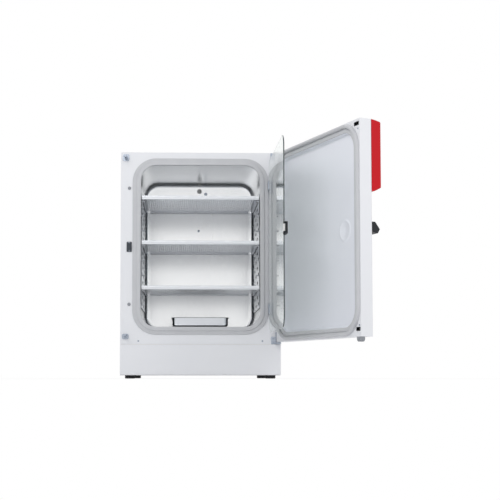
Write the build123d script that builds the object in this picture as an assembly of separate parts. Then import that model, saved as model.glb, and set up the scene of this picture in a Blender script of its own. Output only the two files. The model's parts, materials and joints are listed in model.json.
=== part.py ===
from build123d import *
import math
import os

os.makedirs("parts", exist_ok=True)

# A carbon dioxide incubator with its outer door and its inner glass door standing open.
# Millimetres. X runs to the right seen from the front, Y to the back, Z up.
# The origin lies on the floor, in the middle of the four feet.

# Cabinet
cabinet_width = 740
cabinet_depth = 660
cabinet_top = 1050
sheet = 2
frame_sheet = 3
base_top = 157
base_panel_stand_off = 12
seam = 1
foot_height = 15
foot_radius = 24
foot_inset_x = 45
foot_inset_y = 40
plate_sheet = 3
bumper_radius = 7.5
bumper_height = 6
bumper_lower_inset = 103.5
bumper_upper_inset = 107.5
frame_screw_radius = 4
frame_screw_inset = 84

# Chamber: its place follows from the walls between it and the cabinet's outside
side_wall = 93.5
floor_wall = 81.5
roof_wall = 60.5
rear_wall = 170
chamber_corner = 72
chamber_cove = 20
chamber_wall = 1.5
chamber_flange = 24
insulation_wall = 34
heater_mat = 1.2
heater_inset = 95
cradle_inset = 100

# Ports in the rear wall: to the right of the middle, and down from the ceiling
sensor_port = (0, 34.5)
sensor_stem = 8
gas_port = (32, 48.5)
gas_stem = 4
gas_stem_reach = 24
probe_port = (-4, 238.5)
probe_stem = 3
probe_room = 40

# Ring gasket round the chamber's mouth
ring_side = 38.5
ring_below = 36.5
ring_above = 32.5
ring_corner = 110
ring_face = 3.5
ring_lip = 3.5
ring_lip_width = 20

# Outer door
door_top_gap = 6
door_bottom_gap = 11
door_thickness = 55
door_gap = 15.5
door_open_angle = 112
door_axis_inset = 8.5
door_axis_from_side = 9
rim_edge = 5
lobe_width = 16
lobe_height = 14.7
groove_width = 3
lip_width = 16
lip_height = 5
door_ring_corner = 115
liner_depth = 16
liner_wall = 1.2
liner_slope = 8
dimple_radius = 40
dimple_depth = 5
dimple_inset = 145
door_pin_radius = 4
door_pin_length = 24
running_clearance = 0.05
bush_wall = 2.4
flange_reach = 8

# Glass door
pane_lap_left = 9.5
pane_lap_right = 27.5
pane_lap_low = 29.5
pane_lap_high = 12.5
pane_corner = 55
pane_thickness = 5
pane_gap = 0.8
glass_axis_from_pane = 16
glass_axis_inset = 15
glass_open_angle = 91.3
clip_length = 40
clip_lower_inset = 91
clip_upper_inset = 132
glass_pin_radius = 3
catch_height = 47
catch_above_middle = 2.5
catch_overhang = 40
catch_arm = 8
catch_plate = 8
roller_radius = 5
keeper_width = 24
keeper_gap = 3

# Shelves, racks and water pan
shelf_side_gap = 6.5
shelf_lip_side_gap = 3.5
shelf_lip_height = 18
shelf_lip_depth = 6
shelf_sheet = 1.5
shelf_front_inset = 8
shelf_rear_gap = 10
hole_length = 60
hole_depth = 44
hole_pitch_x = 82
hole_pitch_y = 66
hole_border_x = 20
hole_border_y = 30
rack_sheet = 1.5
rack_pitch = 70
rack_front_inset = 15
rack_rear_gap = 65
rack_stand_off = 2.5
rack_slot_length = 64
rack_slot_height = 14
rack_slot_inset = 38
rack_rear_slot_inset = 12
rack_below_slots = 22
rack_above_slots = 20
first_slot_height = 110.5
room_above_slots = 120
tab_length = 40
tab_reach = 14
rest_gap = 0.3
pan_width = 262
pan_depth = 280
pan_height = 42
pan_corner = 22
pan_base_slope = 6
pan_sheet = 1
pan_rim = 5
pan_foot = 6.2
pan_foot_inset = 40
pan_front_inset = 95

# Latch and control housing
handle_from_side = 34
handle_above_middle = 1
cam_throw = 12
rod_thickness = 3
rod_width = 10
finger_size = 7
spindle_radius = 5
pin_radius = 2.5
lever_reach = 121
lever_top = 23
lever_bottom = 18
lever_depth = 37.5
lever_shoulder = 15.5
handle_plate_width = 52
handle_plate_height = 48
handle_plate_sheet = 4
rod_depth = 19
latch_room = 36
finger_depth = 24
striker_from_side = 24
striker_top_inset = 19.5
striker_bottom_inset = 30.5
tongue_length = 41
tongue_width = 12
tongue_height = 8
housing_depth = 45
housing_height = 293
housing_wall = 3
display_width = 190
display_height = 84
display_rise = 174
key_width = 30
key_height = 16
key_pitch = 52
key_rise = 75
key_gap = 0.4
key_proud = 1.5

# Services at the back
fitting_from_side = 170
fitting_radius = 6
service_above_middle = 4
barb_radius = 4
barb_length = 22
tube_radius = 4
tube_from_back = 80
tube_bend = 25
inlet_from_side = 140
switch_inset = 3
pivot_radius = 1.2
supply_width = 120
supply_depth = 200
supply_height = 78
supply_inset = 48
board_width = 170
board_depth = 180
board_sheet = 2
board_post = 10
board_gap = 50
vent_pitch = 32
vent_width = 12
vent_margin = 30

# Places that follow from the sizes above
half_width = cabinet_width / 2
face_y = -cabinet_depth / 2
back_y = cabinet_depth / 2
inner_half = half_width - sheet
chamber_width = cabinet_width - 2 * side_wall
chamber_floor = base_top + floor_wall
chamber_ceiling = cabinet_top - roof_wall
chamber_back = back_y - rear_wall
sensor_place = (sensor_port[0], chamber_ceiling - sensor_port[1])
gas_place = (gas_port[0], chamber_ceiling - gas_port[1])
probe_place = (probe_port[0], chamber_ceiling - probe_port[1])
port_stems = [(sensor_stem, *sensor_place), (gas_stem, *gas_place), (probe_stem, *probe_place)]
ring_width = chamber_width + 2 * ring_side
ring_low = chamber_floor - ring_below
ring_high = chamber_ceiling + ring_above
ring_front_y = face_y - chamber_wall - ring_face - ring_lip
bumper_x = -ring_width / 2 - 2 * bumper_radius
door_top = cabinet_top - door_top_gap
door_bottom = base_top + door_bottom_gap
door_inner_y = face_y - door_gap
door_outer_y = door_inner_y - door_thickness
door_axis_x = half_width - door_axis_from_side
door_axis_y = door_inner_y - door_axis_inset
liner_margin = rim_edge + lobe_width + groove_width + lip_width
dimple_x = -half_width + dimple_inset
pane_left = -chamber_width / 2 - pane_lap_left
pane_right = chamber_width / 2 + pane_lap_right
pane_low = chamber_floor - pane_lap_low
pane_high = chamber_ceiling + pane_lap_high
pane_back_y = ring_front_y - pane_gap
pane_front_y = pane_back_y - pane_thickness
glass_axis_x = pane_right + glass_axis_from_pane
glass_axis_y = face_y - glass_axis_inset
clip_lows = (pane_low + clip_lower_inset, pane_high - clip_upper_inset)
catch_z = (pane_low + pane_high) / 2 + catch_above_middle
catch_left = pane_left - catch_overhang
roller_x = catch_left + catch_arm
roller_y = pane_front_y + roller_radius + 0.6
catch_arm_y = face_y - 5.5
keeper_right = -ring_width / 2 - keeper_gap
shelf_width = chamber_width - 2 * shelf_side_gap
shelf_lip_width = chamber_width - 2 * shelf_lip_side_gap
shelf_front = face_y + shelf_front_inset
shelf_rear = chamber_back - shelf_rear_gap
hole_columns = int((shelf_width - 2 * hole_border_x) / hole_pitch_x)
hole_rows = int((shelf_rear - shelf_front - 2 * hole_border_y) / hole_pitch_y)
rack_front = face_y + rack_front_inset
rack_rear = chamber_back - rack_rear_gap
rack_first_column = rack_front + rack_slot_inset
rack_last_column = rack_rear - rack_rear_slot_inset
rack_columns = [rack_first_column + share * (rack_last_column - rack_first_column) for share in (0, 0.5, 1)]
rack_between = [rack_first_column + share * (rack_last_column - rack_first_column) for share in (0.25, 0.75)]
first_slot = chamber_floor + first_slot_height
rack_levels = int((chamber_ceiling - room_above_slots - first_slot) / rack_pitch) + 1
shelf_levels = {"shelf_lower": 1, "shelf_middle": rack_levels // 2, "shelf_upper": rack_levels - 1}
handle_x = -half_width + handle_from_side
handle_z = (door_bottom + door_top) / 2 + handle_above_middle
rod_back_y = door_outer_y + rod_depth
finger_front = door_inner_y - finger_depth
striker_x = -half_width + striker_from_side
striker_top_z = door_top - striker_top_inset
striker_bottom_z = door_bottom + striker_bottom_inset
slot_left = striker_x - 18
striker_slots = [(slot_left, striker_x + 18, striker_top_z), (slot_left, striker_x + 12, striker_bottom_z)]
housing_bottom = door_top - housing_height
display_z = housing_bottom + display_rise
key_z = housing_bottom + key_rise
key_places = [(number - 1.5) * key_pitch for number in range(4)]
service_z = (foot_height + base_top) / 2 + service_above_middle
fitting_x = half_width - fitting_from_side
tube_y = back_y - tube_from_back
inlet_x = -half_width + inlet_from_side
supply_left = -inner_half + supply_inset
supply_right = supply_left + supply_width
switch_x = inlet_x + 20
switch_y = back_y - switch_inset


def block(x_low, x_high, y_low, y_high, z_low, z_high):
    """A box between two corners."""
    middle = ((x_low + x_high) / 2, (y_low + y_high) / 2, (z_low + z_high) / 2)
    return Pos(*middle) * Box(x_high - x_low, y_high - y_low, z_high - z_low)


def rounded_slab(width, z_low, z_high, corner, y_front, y_back, middle_x=0):
    """An upright rounded rectangle with its thickness along Y."""
    plane = Plane(origin=(middle_x, y_front, (z_low + z_high) / 2), x_dir=(1, 0, 0), z_dir=(0, 1, 0))
    return extrude(plane * RectangleRounded(width, z_high - z_low, corner), amount=y_back - y_front)


def grown_slab(margin, y_front, y_back):
    """The chamber's mouth outline grown outwards by a margin."""
    return rounded_slab(
        chamber_width + 2 * margin,
        chamber_floor - margin,
        chamber_ceiling + margin,
        chamber_corner + margin,
        y_front,
        y_back,
    )


def door_slab(margin, y_front, y_back):
    """The outer door's outline with rounded corners, drawn in from its edges by a margin."""
    return rounded_slab(
        cabinet_width - 2 * margin,
        door_bottom + margin,
        door_top - margin,
        door_ring_corner + rim_edge - margin,
        y_front,
        y_back,
    )


def upright(radius, x, y, z_low, z_high):
    """A round bar along Z."""
    return Pos(x, y, (z_low + z_high) / 2) * Cylinder(radius, z_high - z_low)


def level(radius, x, z, y_low, y_high):
    """A round bar along Y."""
    return Pos(x, (y_low + y_high) / 2, z) * Rot(90, 0, 0) * Cylinder(radius, y_high - y_low)


def profile_along_x(points, x_low, x_high):
    """A closed outline of Y and Z values, pushed along X."""
    outline = Plane.YZ.offset(x_low) * make_face(Polyline(*points, close=True))
    return extrude(outline, amount=x_high - x_low)


def swung(part, x, y, angle):
    """A part turned about an upright axis."""
    return Pos(x, y, 0) * Rot(0, 0, angle) * Pos(-x, -y, 0) * part


def on_door(part):
    return swung(part, door_axis_x, door_axis_y, door_open_angle)


def on_glass(part):
    return swung(part, glass_axis_x, glass_axis_y, glass_open_angle)


# Cabinet shell

def housing_shell():
    """Top and both sides, folded from one sheet."""
    outer = block(-half_width, half_width, face_y + frame_sheet, back_y - sheet, foot_height, cabinet_top)
    outer = fillet(outer.edges().filter_by(Axis.Y).group_by(Axis.Z)[-1], 2 * sheet)
    inner = block(-inner_half, inner_half, face_y, back_y, 0, cabinet_top - sheet)
    inner = fillet(inner.edges().filter_by(Axis.Y).group_by(Axis.Z)[-1], sheet)
    return outer - inner


def front_frame():
    """The painted face round the chamber's mouth."""
    plate = block(-half_width, half_width, face_y, face_y + frame_sheet, base_top + seam, cabinet_top)
    plate = fillet(plate.edges().filter_by(Axis.Y).group_by(Axis.Z)[-1], 2 * sheet)
    return plate - grown_slab(chamber_wall + 0.5, face_y - 1, face_y + frame_sheet + 1)


def base_panel():
    """A shallow tray that covers the base, open to the back."""
    front = face_y - base_panel_stand_off
    tray = block(-half_width, half_width, front, face_y + frame_sheet, foot_height + sheet, base_top)
    tray = fillet(tray.edges().filter_by(Axis.Z).group_by(Axis.Y)[0], 2 * sheet)
    hollow = block(
        -inner_half, inner_half, front + sheet, face_y + frame_sheet, foot_height + sheet, base_top - sheet
    )
    return tray - hollow


def rear_panel():
    """Back sheet with vent slots, and holes for the gas fitting and the mains inlet."""
    panel = block(-half_width, half_width, back_y - sheet, back_y, foot_height, cabinet_top)
    panel -= level(fitting_radius + rest_gap, fitting_x, service_z, back_y - 10, back_y + 1)
    panel -= inlet_block(rest_gap, back_y - 10, back_y + 1)
    for row in range(6):
        z = 50 + 14 * row
        panel -= block(-60, 60, back_y - 10, back_y + 1, z, z + 5)
    return panel


def bottom_plate():
    high = foot_height + sheet
    return block(-inner_half, inner_half, face_y + frame_sheet, back_y - sheet, foot_height, high)


def deck_plate():
    """Parts the cool base from the warm space above it."""
    low = base_top - sheet
    plate = block(-inner_half, inner_half, face_y + frame_sheet, back_y - sheet, low, base_top)
    return plate - upright(tube_radius + 1, fitting_x, tube_y, base_top - 10, base_top + 1)


def feet():
    x, y = half_width - foot_inset_x, back_y - foot_inset_y
    spots = [(-x, -y), (x, -y), (-x, y), (x, y)]
    return Compound([upright(foot_radius, x, y, 0, foot_height) for x, y in spots])


# Chamber and what surrounds it

def chamber():
    """Deep-drawn tank with coved rear edges and a front flange."""
    wall_back = chamber_back + chamber_wall
    outer = grown_slab(chamber_wall, face_y, wall_back)
    outer = chamfer(outer.faces().sort_by(Axis.Y)[-1].edges(), 0.58 * (chamber_cove + chamber_wall))
    inner = grown_slab(0, face_y - 20, chamber_back)
    inner = fillet(inner.faces().sort_by(Axis.Y)[-1].edges(), chamber_cove)
    tank = outer + grown_slab(chamber_flange, face_y - chamber_wall, face_y) - inner
    for radius, x, z in port_stems:
        tank -= level(radius + 0.2, x, z, chamber_back - 5, wall_back + 5)
    return tank


def chamber_cradles():
    """Two cross bars under the chamber, on the floor of the lining."""
    top = chamber_floor - chamber_wall
    span = chamber_width / 2 - chamber_corner
    low = base_top + insulation_wall
    spots = (face_y + cradle_inset, chamber_back - cradle_inset)
    return Compound([block(-span, span, y - 10, y + 10, low, top) for y in spots])


def chamber_insulation():
    """Foam lining of the housing: floor, sides, top and back."""
    top = cabinet_top - sheet
    outer = block(-inner_half, inner_half, face_y + frame_sheet, back_y - sheet, base_top, top)
    outer = fillet(outer.edges().filter_by(Axis.Y).group_by(Axis.Z)[-1], sheet)
    inner = block(
        -inner_half + insulation_wall,
        inner_half - insulation_wall,
        face_y,
        back_y - sheet - insulation_wall,
        base_top + insulation_wall,
        cabinet_top - sheet - insulation_wall,
    )
    tube_hole = upright(tube_radius + 1, fitting_x, tube_y, base_top - 1, base_top + insulation_wall + 1)
    return outer - inner - tube_hole


def chamber_heater():
    """Heating mats on the flat outsides of the chamber."""
    side = chamber_width / 2 + chamber_wall
    top = chamber_ceiling + chamber_wall
    low = chamber_floor - chamber_wall
    back = chamber_back + chamber_wall
    run = side - heater_inset
    y_low, y_high = face_y + heater_inset, chamber_back - heater_inset
    mats = [block(-side - heater_mat, -side, y_low, y_high, low + heater_inset, top - heater_inset)]
    mats.append(block(side, side + heater_mat, y_low, y_high, low + heater_inset, top - heater_inset))
    mats.append(block(-run, run, y_low, y_high, top, top + heater_mat))
    mats.append(block(-run, run, y_low + 30, y_high - 30, low - heater_mat, low))
    mats.append(block(-run, run, back, back + heater_mat, low + heater_inset, probe_place[1] - probe_room))
    return Compound(mats)


def frame_gasket():
    """Ring gasket: a wide face that steps over the chamber's flange, with a raised inner lip."""
    flange_y = face_y - chamber_wall
    face_front = flange_y - ring_face
    face = rounded_slab(ring_width, ring_low, ring_high, ring_corner, face_front, flange_y)
    face = chamfer(face.faces().sort_by(Axis.Y)[0].edges(), 1.5)
    skirt = rounded_slab(ring_width, ring_low, ring_high, ring_corner, flange_y, face_y)
    skirt -= grown_slab(chamber_flange + 0.5, flange_y - 1, face_y + 1)
    lip = grown_slab(ring_lip_width, ring_front_y, face_front)
    lip = chamfer(lip.faces().sort_by(Axis.Y)[0].edges(), 2)
    return face + skirt + lip - grown_slab(0, ring_front_y - 1, face_y + 1)


def hinge_bracket(upper):
    """Corner plate on the frame, with a lug and a pin that the outer door swings on."""
    low = base_top + seam
    high = cabinet_top - 1
    front = door_axis_y - 14
    root = face_y - plate_sheet
    lug_low = door_top + 1.7 if upper else low + 1
    lug_high = high if upper else door_bottom - 2
    if upper:
        plate = block(door_axis_x - 35, door_axis_x + 5, root, face_y, door_top - 28, high)
        pin = upright(door_pin_radius, door_axis_x, door_axis_y, door_top - door_pin_length, high)
        washer = upright(8, door_axis_x, door_axis_y, door_top + rest_gap, lug_low)
    else:
        plate = block(door_axis_x - 35, door_axis_x + 5, root, face_y, low, door_bottom + 24)
        plate += block(door_axis_x - 14, door_axis_x + 5, root, face_y, low, door_bottom + 46)
        pin = upright(door_pin_radius, door_axis_x, door_axis_y, low + 1, door_bottom + door_pin_length)
        washer = upright(8, door_axis_x, door_axis_y, lug_high, door_bottom - rest_gap)
    lug = block(door_axis_x - 17, half_width, front, face_y, lug_low, lug_high)
    lug = chamfer(lug.edges().filter_by(Axis.Z).group_by(Axis.Y)[0], 5)
    return plate + lug + pin + washer


def glass_hinge_brackets():
    """Two base plates with ears and pins for the glass door."""
    brackets = []
    root = face_y - plate_sheet
    for low in clip_lows:
        high = low + clip_length
        plate = block(glass_axis_x - 3, glass_axis_x + 22, root, face_y, low - 10, high + 10)
        parts = plate
        for z_low, z_high in ((low - 8, low - 0.5), (high + 0.5, high + 8)):
            ear = block(glass_axis_x - 4.6, glass_axis_x + 5.4, glass_axis_y - 6, root, z_low, z_high)
            ear = chamfer(ear.edges().filter_by(Axis.Z).group_by(Axis.Y)[0], 2.5)
            parts += ear
        parts += upright(glass_pin_radius, glass_axis_x, glass_axis_y, low - 8, high + 8)
        brackets.append(parts)
    return Compound(brackets)


def striker(z, plate_low, plate_high):
    """Plate on the frame with a tongue that the latch finger passes through."""
    root = face_y - plate_sheet
    plate = block(striker_x - 15, striker_x + 15, root, face_y, plate_low, plate_high)
    plate = chamfer(plate.edges().filter_by(Axis.Y), 4)
    half, rise = tongue_width / 2, tongue_height / 2
    tip = root - tongue_length
    tongue = block(striker_x - half, striker_x + half, tip, root, z - rise, z + rise)
    tongue = chamfer(tongue.edges().filter_by(Axis.Z).group_by(Axis.Y)[0], 2)
    hole = block(
        striker_x - finger_size / 2 - 0.75,
        striker_x + finger_size / 2 + 0.75,
        finger_front - 1,
        finger_front + finger_size + 1,
        z - 20,
        z + 20,
    )
    return plate + tongue - hole


def glass_keeper():
    """Keeper plate with a raised pad, opposite the glass door's catch."""
    low = catch_z - catch_height / 2
    left = keeper_right - keeper_width
    front = face_y - plate_sheet
    plate = block(left, keeper_right, front, face_y, low, low + catch_height)
    plate = chamfer(plate.edges().filter_by(Axis.Y), 3)
    pad = block(left + 2, left + 15, front - 2, front, low + 5, low + catch_height - 5)
    return plate + pad


def frame_bumpers():
    """Two small domed buffers on the left of the frame."""
    domes = []
    for z in (chamber_floor + bumper_lower_inset, chamber_ceiling - bumper_upper_inset):
        dome = level(bumper_radius, bumper_x, z, face_y - bumper_height, face_y)
        domes.append(chamfer(dome.faces().sort_by(Axis.Y)[0].edges(), 2))
    return Compound(domes)


def frame_screws():
    x, z = half_width - frame_screw_inset, base_top + 15.5
    return Compound([level(frame_screw_radius, x, z, face_y - 1.5, face_y) for x in (-x, x)])


def slot_hexagon(length, height):
    """A long hexagon in its own plane."""
    run, rise = length / 2, height / 2
    tip = run - rise
    points = [(-run, 0), (-tip, rise), (tip, rise), (run, 0), (tip, -rise), (-tip, -rise)]
    return make_face(Polyline(*points, close=True))


def rack(side):
    """Side rack: a plate with staggered slots and bent-in tabs, on four stand-off lugs."""
    wall = chamber_width / 2
    outer = wall - rack_stand_off
    inner = outer - rack_sheet
    z_low = first_slot - rack_below_slots
    z_high = first_slot + (rack_levels - 1) * rack_pitch + rack_above_slots
    plate = block(inner, outer, rack_front, rack_rear, z_low, z_high)
    cut_plane = Plane(origin=(inner - 5, 0, 0), x_dir=(0, 1, 0), z_dir=(1, 0, 0))
    cutter = extrude(cut_plane * slot_hexagon(rack_slot_length, rack_slot_height), amount=20)
    cuts = []
    tabs = []
    for number in range(rack_levels):
        z = first_slot + number * rack_pitch
        for y in rack_columns:
            cuts.append(Pos(0, y, z) * cutter)
        for y in (rack_columns[0], rack_columns[-1]):
            top = z - rack_slot_height / 2 - rest_gap
            front = y - tab_length / 2
            tabs.append(block(inner - tab_reach, inner, front, front + tab_length, top - rack_sheet, top))
        if number:
            for y in rack_between:
                cuts.append(Pos(0, y, z - rack_pitch / 2) * cutter)
    lugs = [
        block(outer, wall, y, y + 12, z, z + 12)
        for y in (rack_front, rack_rear - 12)
        for z in (z_low, z_high - 12)
    ]
    one = plate - cuts + tabs + lugs
    return one if side > 0 else mirror(one, Plane.YZ)


def port_plug(radius, stem, x, z, reach, dome):
    """A flanged body through the chamber's rear wall, with a domed inner end."""
    flange = level(radius, x, z, chamber_back - 3, chamber_back)
    tip = level(radius - 2.5, x, z, chamber_back - 3 - dome, chamber_back - 3)
    tip = chamfer(tip.faces().sort_by(Axis.Y)[0].edges(), min(dome, radius - 2.5) * 0.4)
    return flange + tip + level(stem, x, z, chamber_back, chamber_back + reach)


# Base equipment and services at the back

def power_supply():
    low = foot_height + sheet
    top = low + supply_height
    case = block(supply_left, supply_right, -supply_depth / 2, supply_depth / 2, low, top)
    left, right = supply_left + vent_margin, supply_right - vent_margin
    for number in range(5):
        y = (number - 2.5) * vent_pitch
        case -= block(left, right, y, y + vent_width, top - 5, top + 1)
    return case


def control_board():
    """Circuit board on four posts, with a heat sink and two connectors."""
    low = foot_height + sheet
    under = low + board_post
    top = under + board_sheet
    left = supply_right + board_gap
    right = left + board_width
    front, rear = -board_depth / 2, board_depth / 2
    board = block(left, right, front, rear, under, top)
    posts = [
        block(x - 3, x + 3, y - 3, y + 3, low, under)
        for x in (left + 8, right - 8)
        for y in (front + 8, rear - 8)
    ]
    heat_sink = block(left + 20, left + 70, front + 20, front + 80, top, top + 28)
    plugs = [block(right - 60, right - 20, rear - 50, rear - 20, top, top + 12)]
    plugs.append(block(left + 20, left + 50, rear - 50, rear - 20, top, top + 16))
    return board + posts + heat_sink + plugs


def gas_valve():
    """Valve block with its solenoid, screwed to the back panel."""
    body = block(fitting_x - 30, fitting_x + 30, tube_y - 25, back_y - sheet, service_z - 30, service_z + 20)
    body += upright(16, fitting_x, tube_y + 40, service_z + 20, service_z + 48)
    body -= level(fitting_radius + 0.1, fitting_x, service_z, back_y - 14, back_y)
    return body


def gas_tube():
    """Tube from the valve up behind the chamber to the nozzle's stem."""
    nozzle_x, nozzle_z = gas_place
    end_y = chamber_back + gas_stem_reach
    path = FilletPolyline(
        (fitting_x, tube_y, service_z + 20),
        (fitting_x, tube_y, nozzle_z),
        (nozzle_x, tube_y, nozzle_z),
        (nozzle_x, end_y, nozzle_z),
        radius=tube_bend,
    )
    start = Plane(origin=path @ 0, z_dir=path % 0)
    return sweep(start * Circle(tube_radius), path=path)


def gas_fitting():
    """Hose barb with a hexagon, through the back panel into the valve block."""
    thread = level(fitting_radius, fitting_x, service_z, back_y - 12, back_y)
    face = Plane(origin=(fitting_x, back_y, service_z), x_dir=(1, 0, 0), z_dir=(0, 1, 0))
    hexagon = extrude(face * RegularPolygon(10, 6), amount=8)
    tip = back_y + 8 + barb_length
    stem = level(barb_radius, fitting_x, service_z, back_y + 8, tip)
    bore = level(barb_radius - 1.5, fitting_x, service_z, back_y - 13, tip + 1)
    return thread + hexagon + stem - bore


def inlet_block(margin, y_low, y_high):
    """The rectangle that the mains inlet and its switch pass through."""
    return block(
        inlet_x - 36 - margin,
        inlet_x + 36 + margin,
        y_low,
        y_high,
        service_z - 13 - margin,
        service_z + 13 + margin,
    )


def mains_inlet():
    """Inlet socket with three blades, and the switch's well beside it."""
    flange = block(inlet_x - 42, inlet_x + 42, back_y, back_y + 2, service_z - 17, service_z + 17)
    flange = chamfer(flange.edges().filter_by(Axis.Y), 3)
    socket = block(inlet_x - 30, inlet_x - 2, back_y - 16, back_y + 3, service_z - 9, service_z + 9)
    socket = chamfer(socket.edges().filter_by(Axis.Y).group_by(Axis.Z)[-1], 4)
    well = block(switch_x - 8.5, switch_x + 8.5, back_y - 16, back_y + 3, service_z - 11, service_z + 11)
    part = inlet_block(0, back_y - 24, back_y) + flange - socket - well
    part -= Pos(switch_x, switch_y, service_z) * Rot(0, 90, 0) * Cylinder(pivot_radius + 0.1, 20)
    for x, z in ((-23, -1), (-16, 3), (-9, -1)):
        blade_x, blade_z = inlet_x + x, service_z + z
        part += block(blade_x - 1, blade_x + 1, back_y - 16, back_y - 2, blade_z - 2, blade_z + 2)
    return part


def main_switch():
    """Rocker on two pivot stubs."""
    outline = [
        (switch_y - 6, service_z - 3),
        (switch_y + 5, service_z - 9),
        (switch_y + 8.5, service_z - 10),
        (switch_y + 7, service_z),
        (switch_y + 6, service_z + 9),
        (switch_y + 4, service_z + 9),
        (switch_y - 6, service_z + 3),
    ]
    rocker = profile_along_x(outline, switch_x - 8.2, switch_x + 8.2)
    return rocker + Pos(switch_x, switch_y, service_z) * Rot(0, 90, 0) * Cylinder(pivot_radius, 19)


# Outer door, drawn closed and then swung open

def door_shell():
    """Folded casing with a rim round the liner, striker slots and holes for its hinge bushes."""
    shell = block(-half_width, half_width, door_outer_y, door_inner_y, door_bottom, door_top)
    shell = fillet(shell.faces().sort_by(Axis.Y)[0].edges(), 2 * sheet)
    hollow = block(
        -inner_half,
        inner_half,
        door_outer_y + sheet,
        door_inner_y - sheet,
        door_bottom + sheet,
        door_top - sheet,
    )
    shell -= hollow
    shell -= door_slab(liner_margin, door_inner_y - sheet - 1, door_inner_y + 1)
    slot_y = door_inner_y - sheet - 1
    for x_low, x_high, z in striker_slots:
        shell -= block(x_low + 1.5, x_high - 1.5, slot_y, door_inner_y + 1, z - 6.5, z + 6.5)
    shell -= level(spindle_radius + 0.5, handle_x, handle_z, door_outer_y - 1, door_outer_y + sheet + 1)
    bush = door_pin_radius + running_clearance + bush_wall
    for z_low in (door_bottom - 1, door_top - sheet - 1):
        shell -= upright(bush, door_axis_x, door_axis_y, z_low, z_low + sheet + 2)
    return shell


def door_insulation():
    back = door_inner_y - liner_depth
    left = handle_x + latch_room
    slab = block(left, inner_half, door_outer_y + sheet, back, door_bottom + sheet, door_top - sheet)
    return slab - liner_dimple(dimple_radius, back)


def liner_dimple(radius, back):
    """A shallow cone pressed outwards into the liner, with its wide end towards the cabinet."""
    cone = Pos(dimple_x, back - dimple_depth / 2, catch_z) * Rot(-90, 0, 0)
    return cone * Cone(radius - dimple_depth, radius, dimple_depth)


def door_liner():
    """Dished stainless panel with a flange that lies on the rim, and one round dimple."""
    front = door_inner_y + liner_wall
    back = door_inner_y - liner_depth
    play = 0.2
    dish = door_slab(liner_margin + play, back, front)
    dish = chamfer(dish.faces().sort_by(Axis.Y)[0].edges(), liner_slope)
    hollow = door_slab(liner_margin + play + liner_wall, back + liner_wall, front + 1)
    hollow = chamfer(hollow.faces().sort_by(Axis.Y)[0].edges(), liner_slope - liner_wall / 2)
    panel = dish + door_slab(liner_margin - flange_reach, door_inner_y, front) - hollow
    pressed = liner_dimple(dimple_radius, back)
    return panel + pressed - liner_dimple(dimple_radius - liner_wall, back + liner_wall)


def door_gasket():
    """Ring gasket in one extrusion: tall outer lobe, web under a groove, low inner lip."""
    inner_lobe = rim_edge + lobe_width
    lobe = door_slab(rim_edge, door_inner_y, door_inner_y + lobe_height)
    lobe -= door_slab(inner_lobe, door_inner_y - 1, door_inner_y + lobe_height + 1)
    lobe = chamfer(lobe.faces().sort_by(Axis.Y)[-1].edges(), 4)
    web = door_slab(inner_lobe, door_inner_y, door_inner_y + 2)
    web -= door_slab(inner_lobe + groove_width, door_inner_y - 1, door_inner_y + 3)
    lip = door_slab(inner_lobe + groove_width, door_inner_y, door_inner_y + lip_height)
    lip -= door_slab(liner_margin, door_inner_y - 1, door_inner_y + lip_height + 1)
    lip = chamfer(lip.faces().sort_by(Axis.Y)[-1].edges(), 2)
    lip -= door_slab(liner_margin - flange_reach - 0.3, door_inner_y - 1, door_inner_y + liner_wall)
    return lobe + web + lip


def slot_bezels():
    """Black collars in the two striker slots."""
    bezels = []
    for x_low, x_high, z in striker_slots:
        flange = block(x_low, x_high, door_inner_y, door_inner_y + 1.2, z - 8, z + 8)
        flange = chamfer(flange.edges().filter_by(Axis.Y), 2)
        collar = block(x_low + 2, x_high - 2, door_inner_y - 9, door_inner_y, z - 6.2, z + 6.2)
        hole = block(x_low + 3.2, x_high - 3.2, door_inner_y - 10, door_inner_y + 2, z - 5.4, z + 5.4)
        bezels.append(flange + collar - hole)
    return Compound(bezels)


def door_screws():
    spots = (striker_bottom_z + 15, striker_top_z - 22)
    return Compound([level(3.5, -half_width + 13, z, door_inner_y, door_inner_y + 1.5) for z in spots])


def door_guide_shoe():
    """Rounded shoe under the free corner that centres the door as it closes."""
    x_low, y_high = -half_width + 4, door_inner_y - 2
    shoe = block(x_low, x_low + 33, y_high - 18, y_high, door_bottom - 20, door_bottom)
    return fillet(shoe.edges().filter_by(Axis.Y).group_by(Axis.Z)[0], 13)


def door_bushes():
    """Hinge bushes in the casing's lower and upper corners."""
    bore = door_pin_radius + running_clearance
    bushes = []
    for z_low in (door_bottom, door_top - door_pin_length - 2):
        tube = upright(bore + bush_wall, door_axis_x, door_axis_y, z_low, z_low + door_pin_length + 2)
        bushes.append(tube - upright(bore, door_axis_x, door_axis_y, z_low - 1, z_low + door_pin_length + 3))
    return Compound(bushes)


def control_housing():
    """Hollow cover across the door, with a sloped top, a window and four key holes."""
    front = door_outer_y - housing_depth
    top = door_top - 0.5
    outline = [
        (door_outer_y, housing_bottom),
        (door_outer_y, top),
        (door_outer_y - 19, top - 1.5),
        (front, top - 8),
        (front, housing_bottom + 17),
        (door_outer_y - 16, housing_bottom + 2),
    ]
    cover = profile_along_x(outline, -half_width, half_width)
    cover = fillet(cover.edges().filter_by(Axis.X).group_by(Axis.Y)[0], 6)
    cover = chamfer(cover.faces().sort_by(Axis.Y)[0].edges().filter_by(Axis.Z), 4)
    cavity = block(
        -half_width + housing_wall,
        half_width - housing_wall,
        front + housing_wall,
        door_outer_y - housing_wall,
        housing_bottom + 22,
        top - 14,
    )
    cover -= cavity
    window = rounded_slab(
        display_width,
        display_z - display_height / 2,
        display_z + display_height / 2,
        6,
        front - 1,
        front + housing_wall + 1,
    )
    cover -= window
    for x in key_places:
        cover -= key_slab(x, key_gap, front - 1, front + housing_wall + 1)
    return cover


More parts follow.
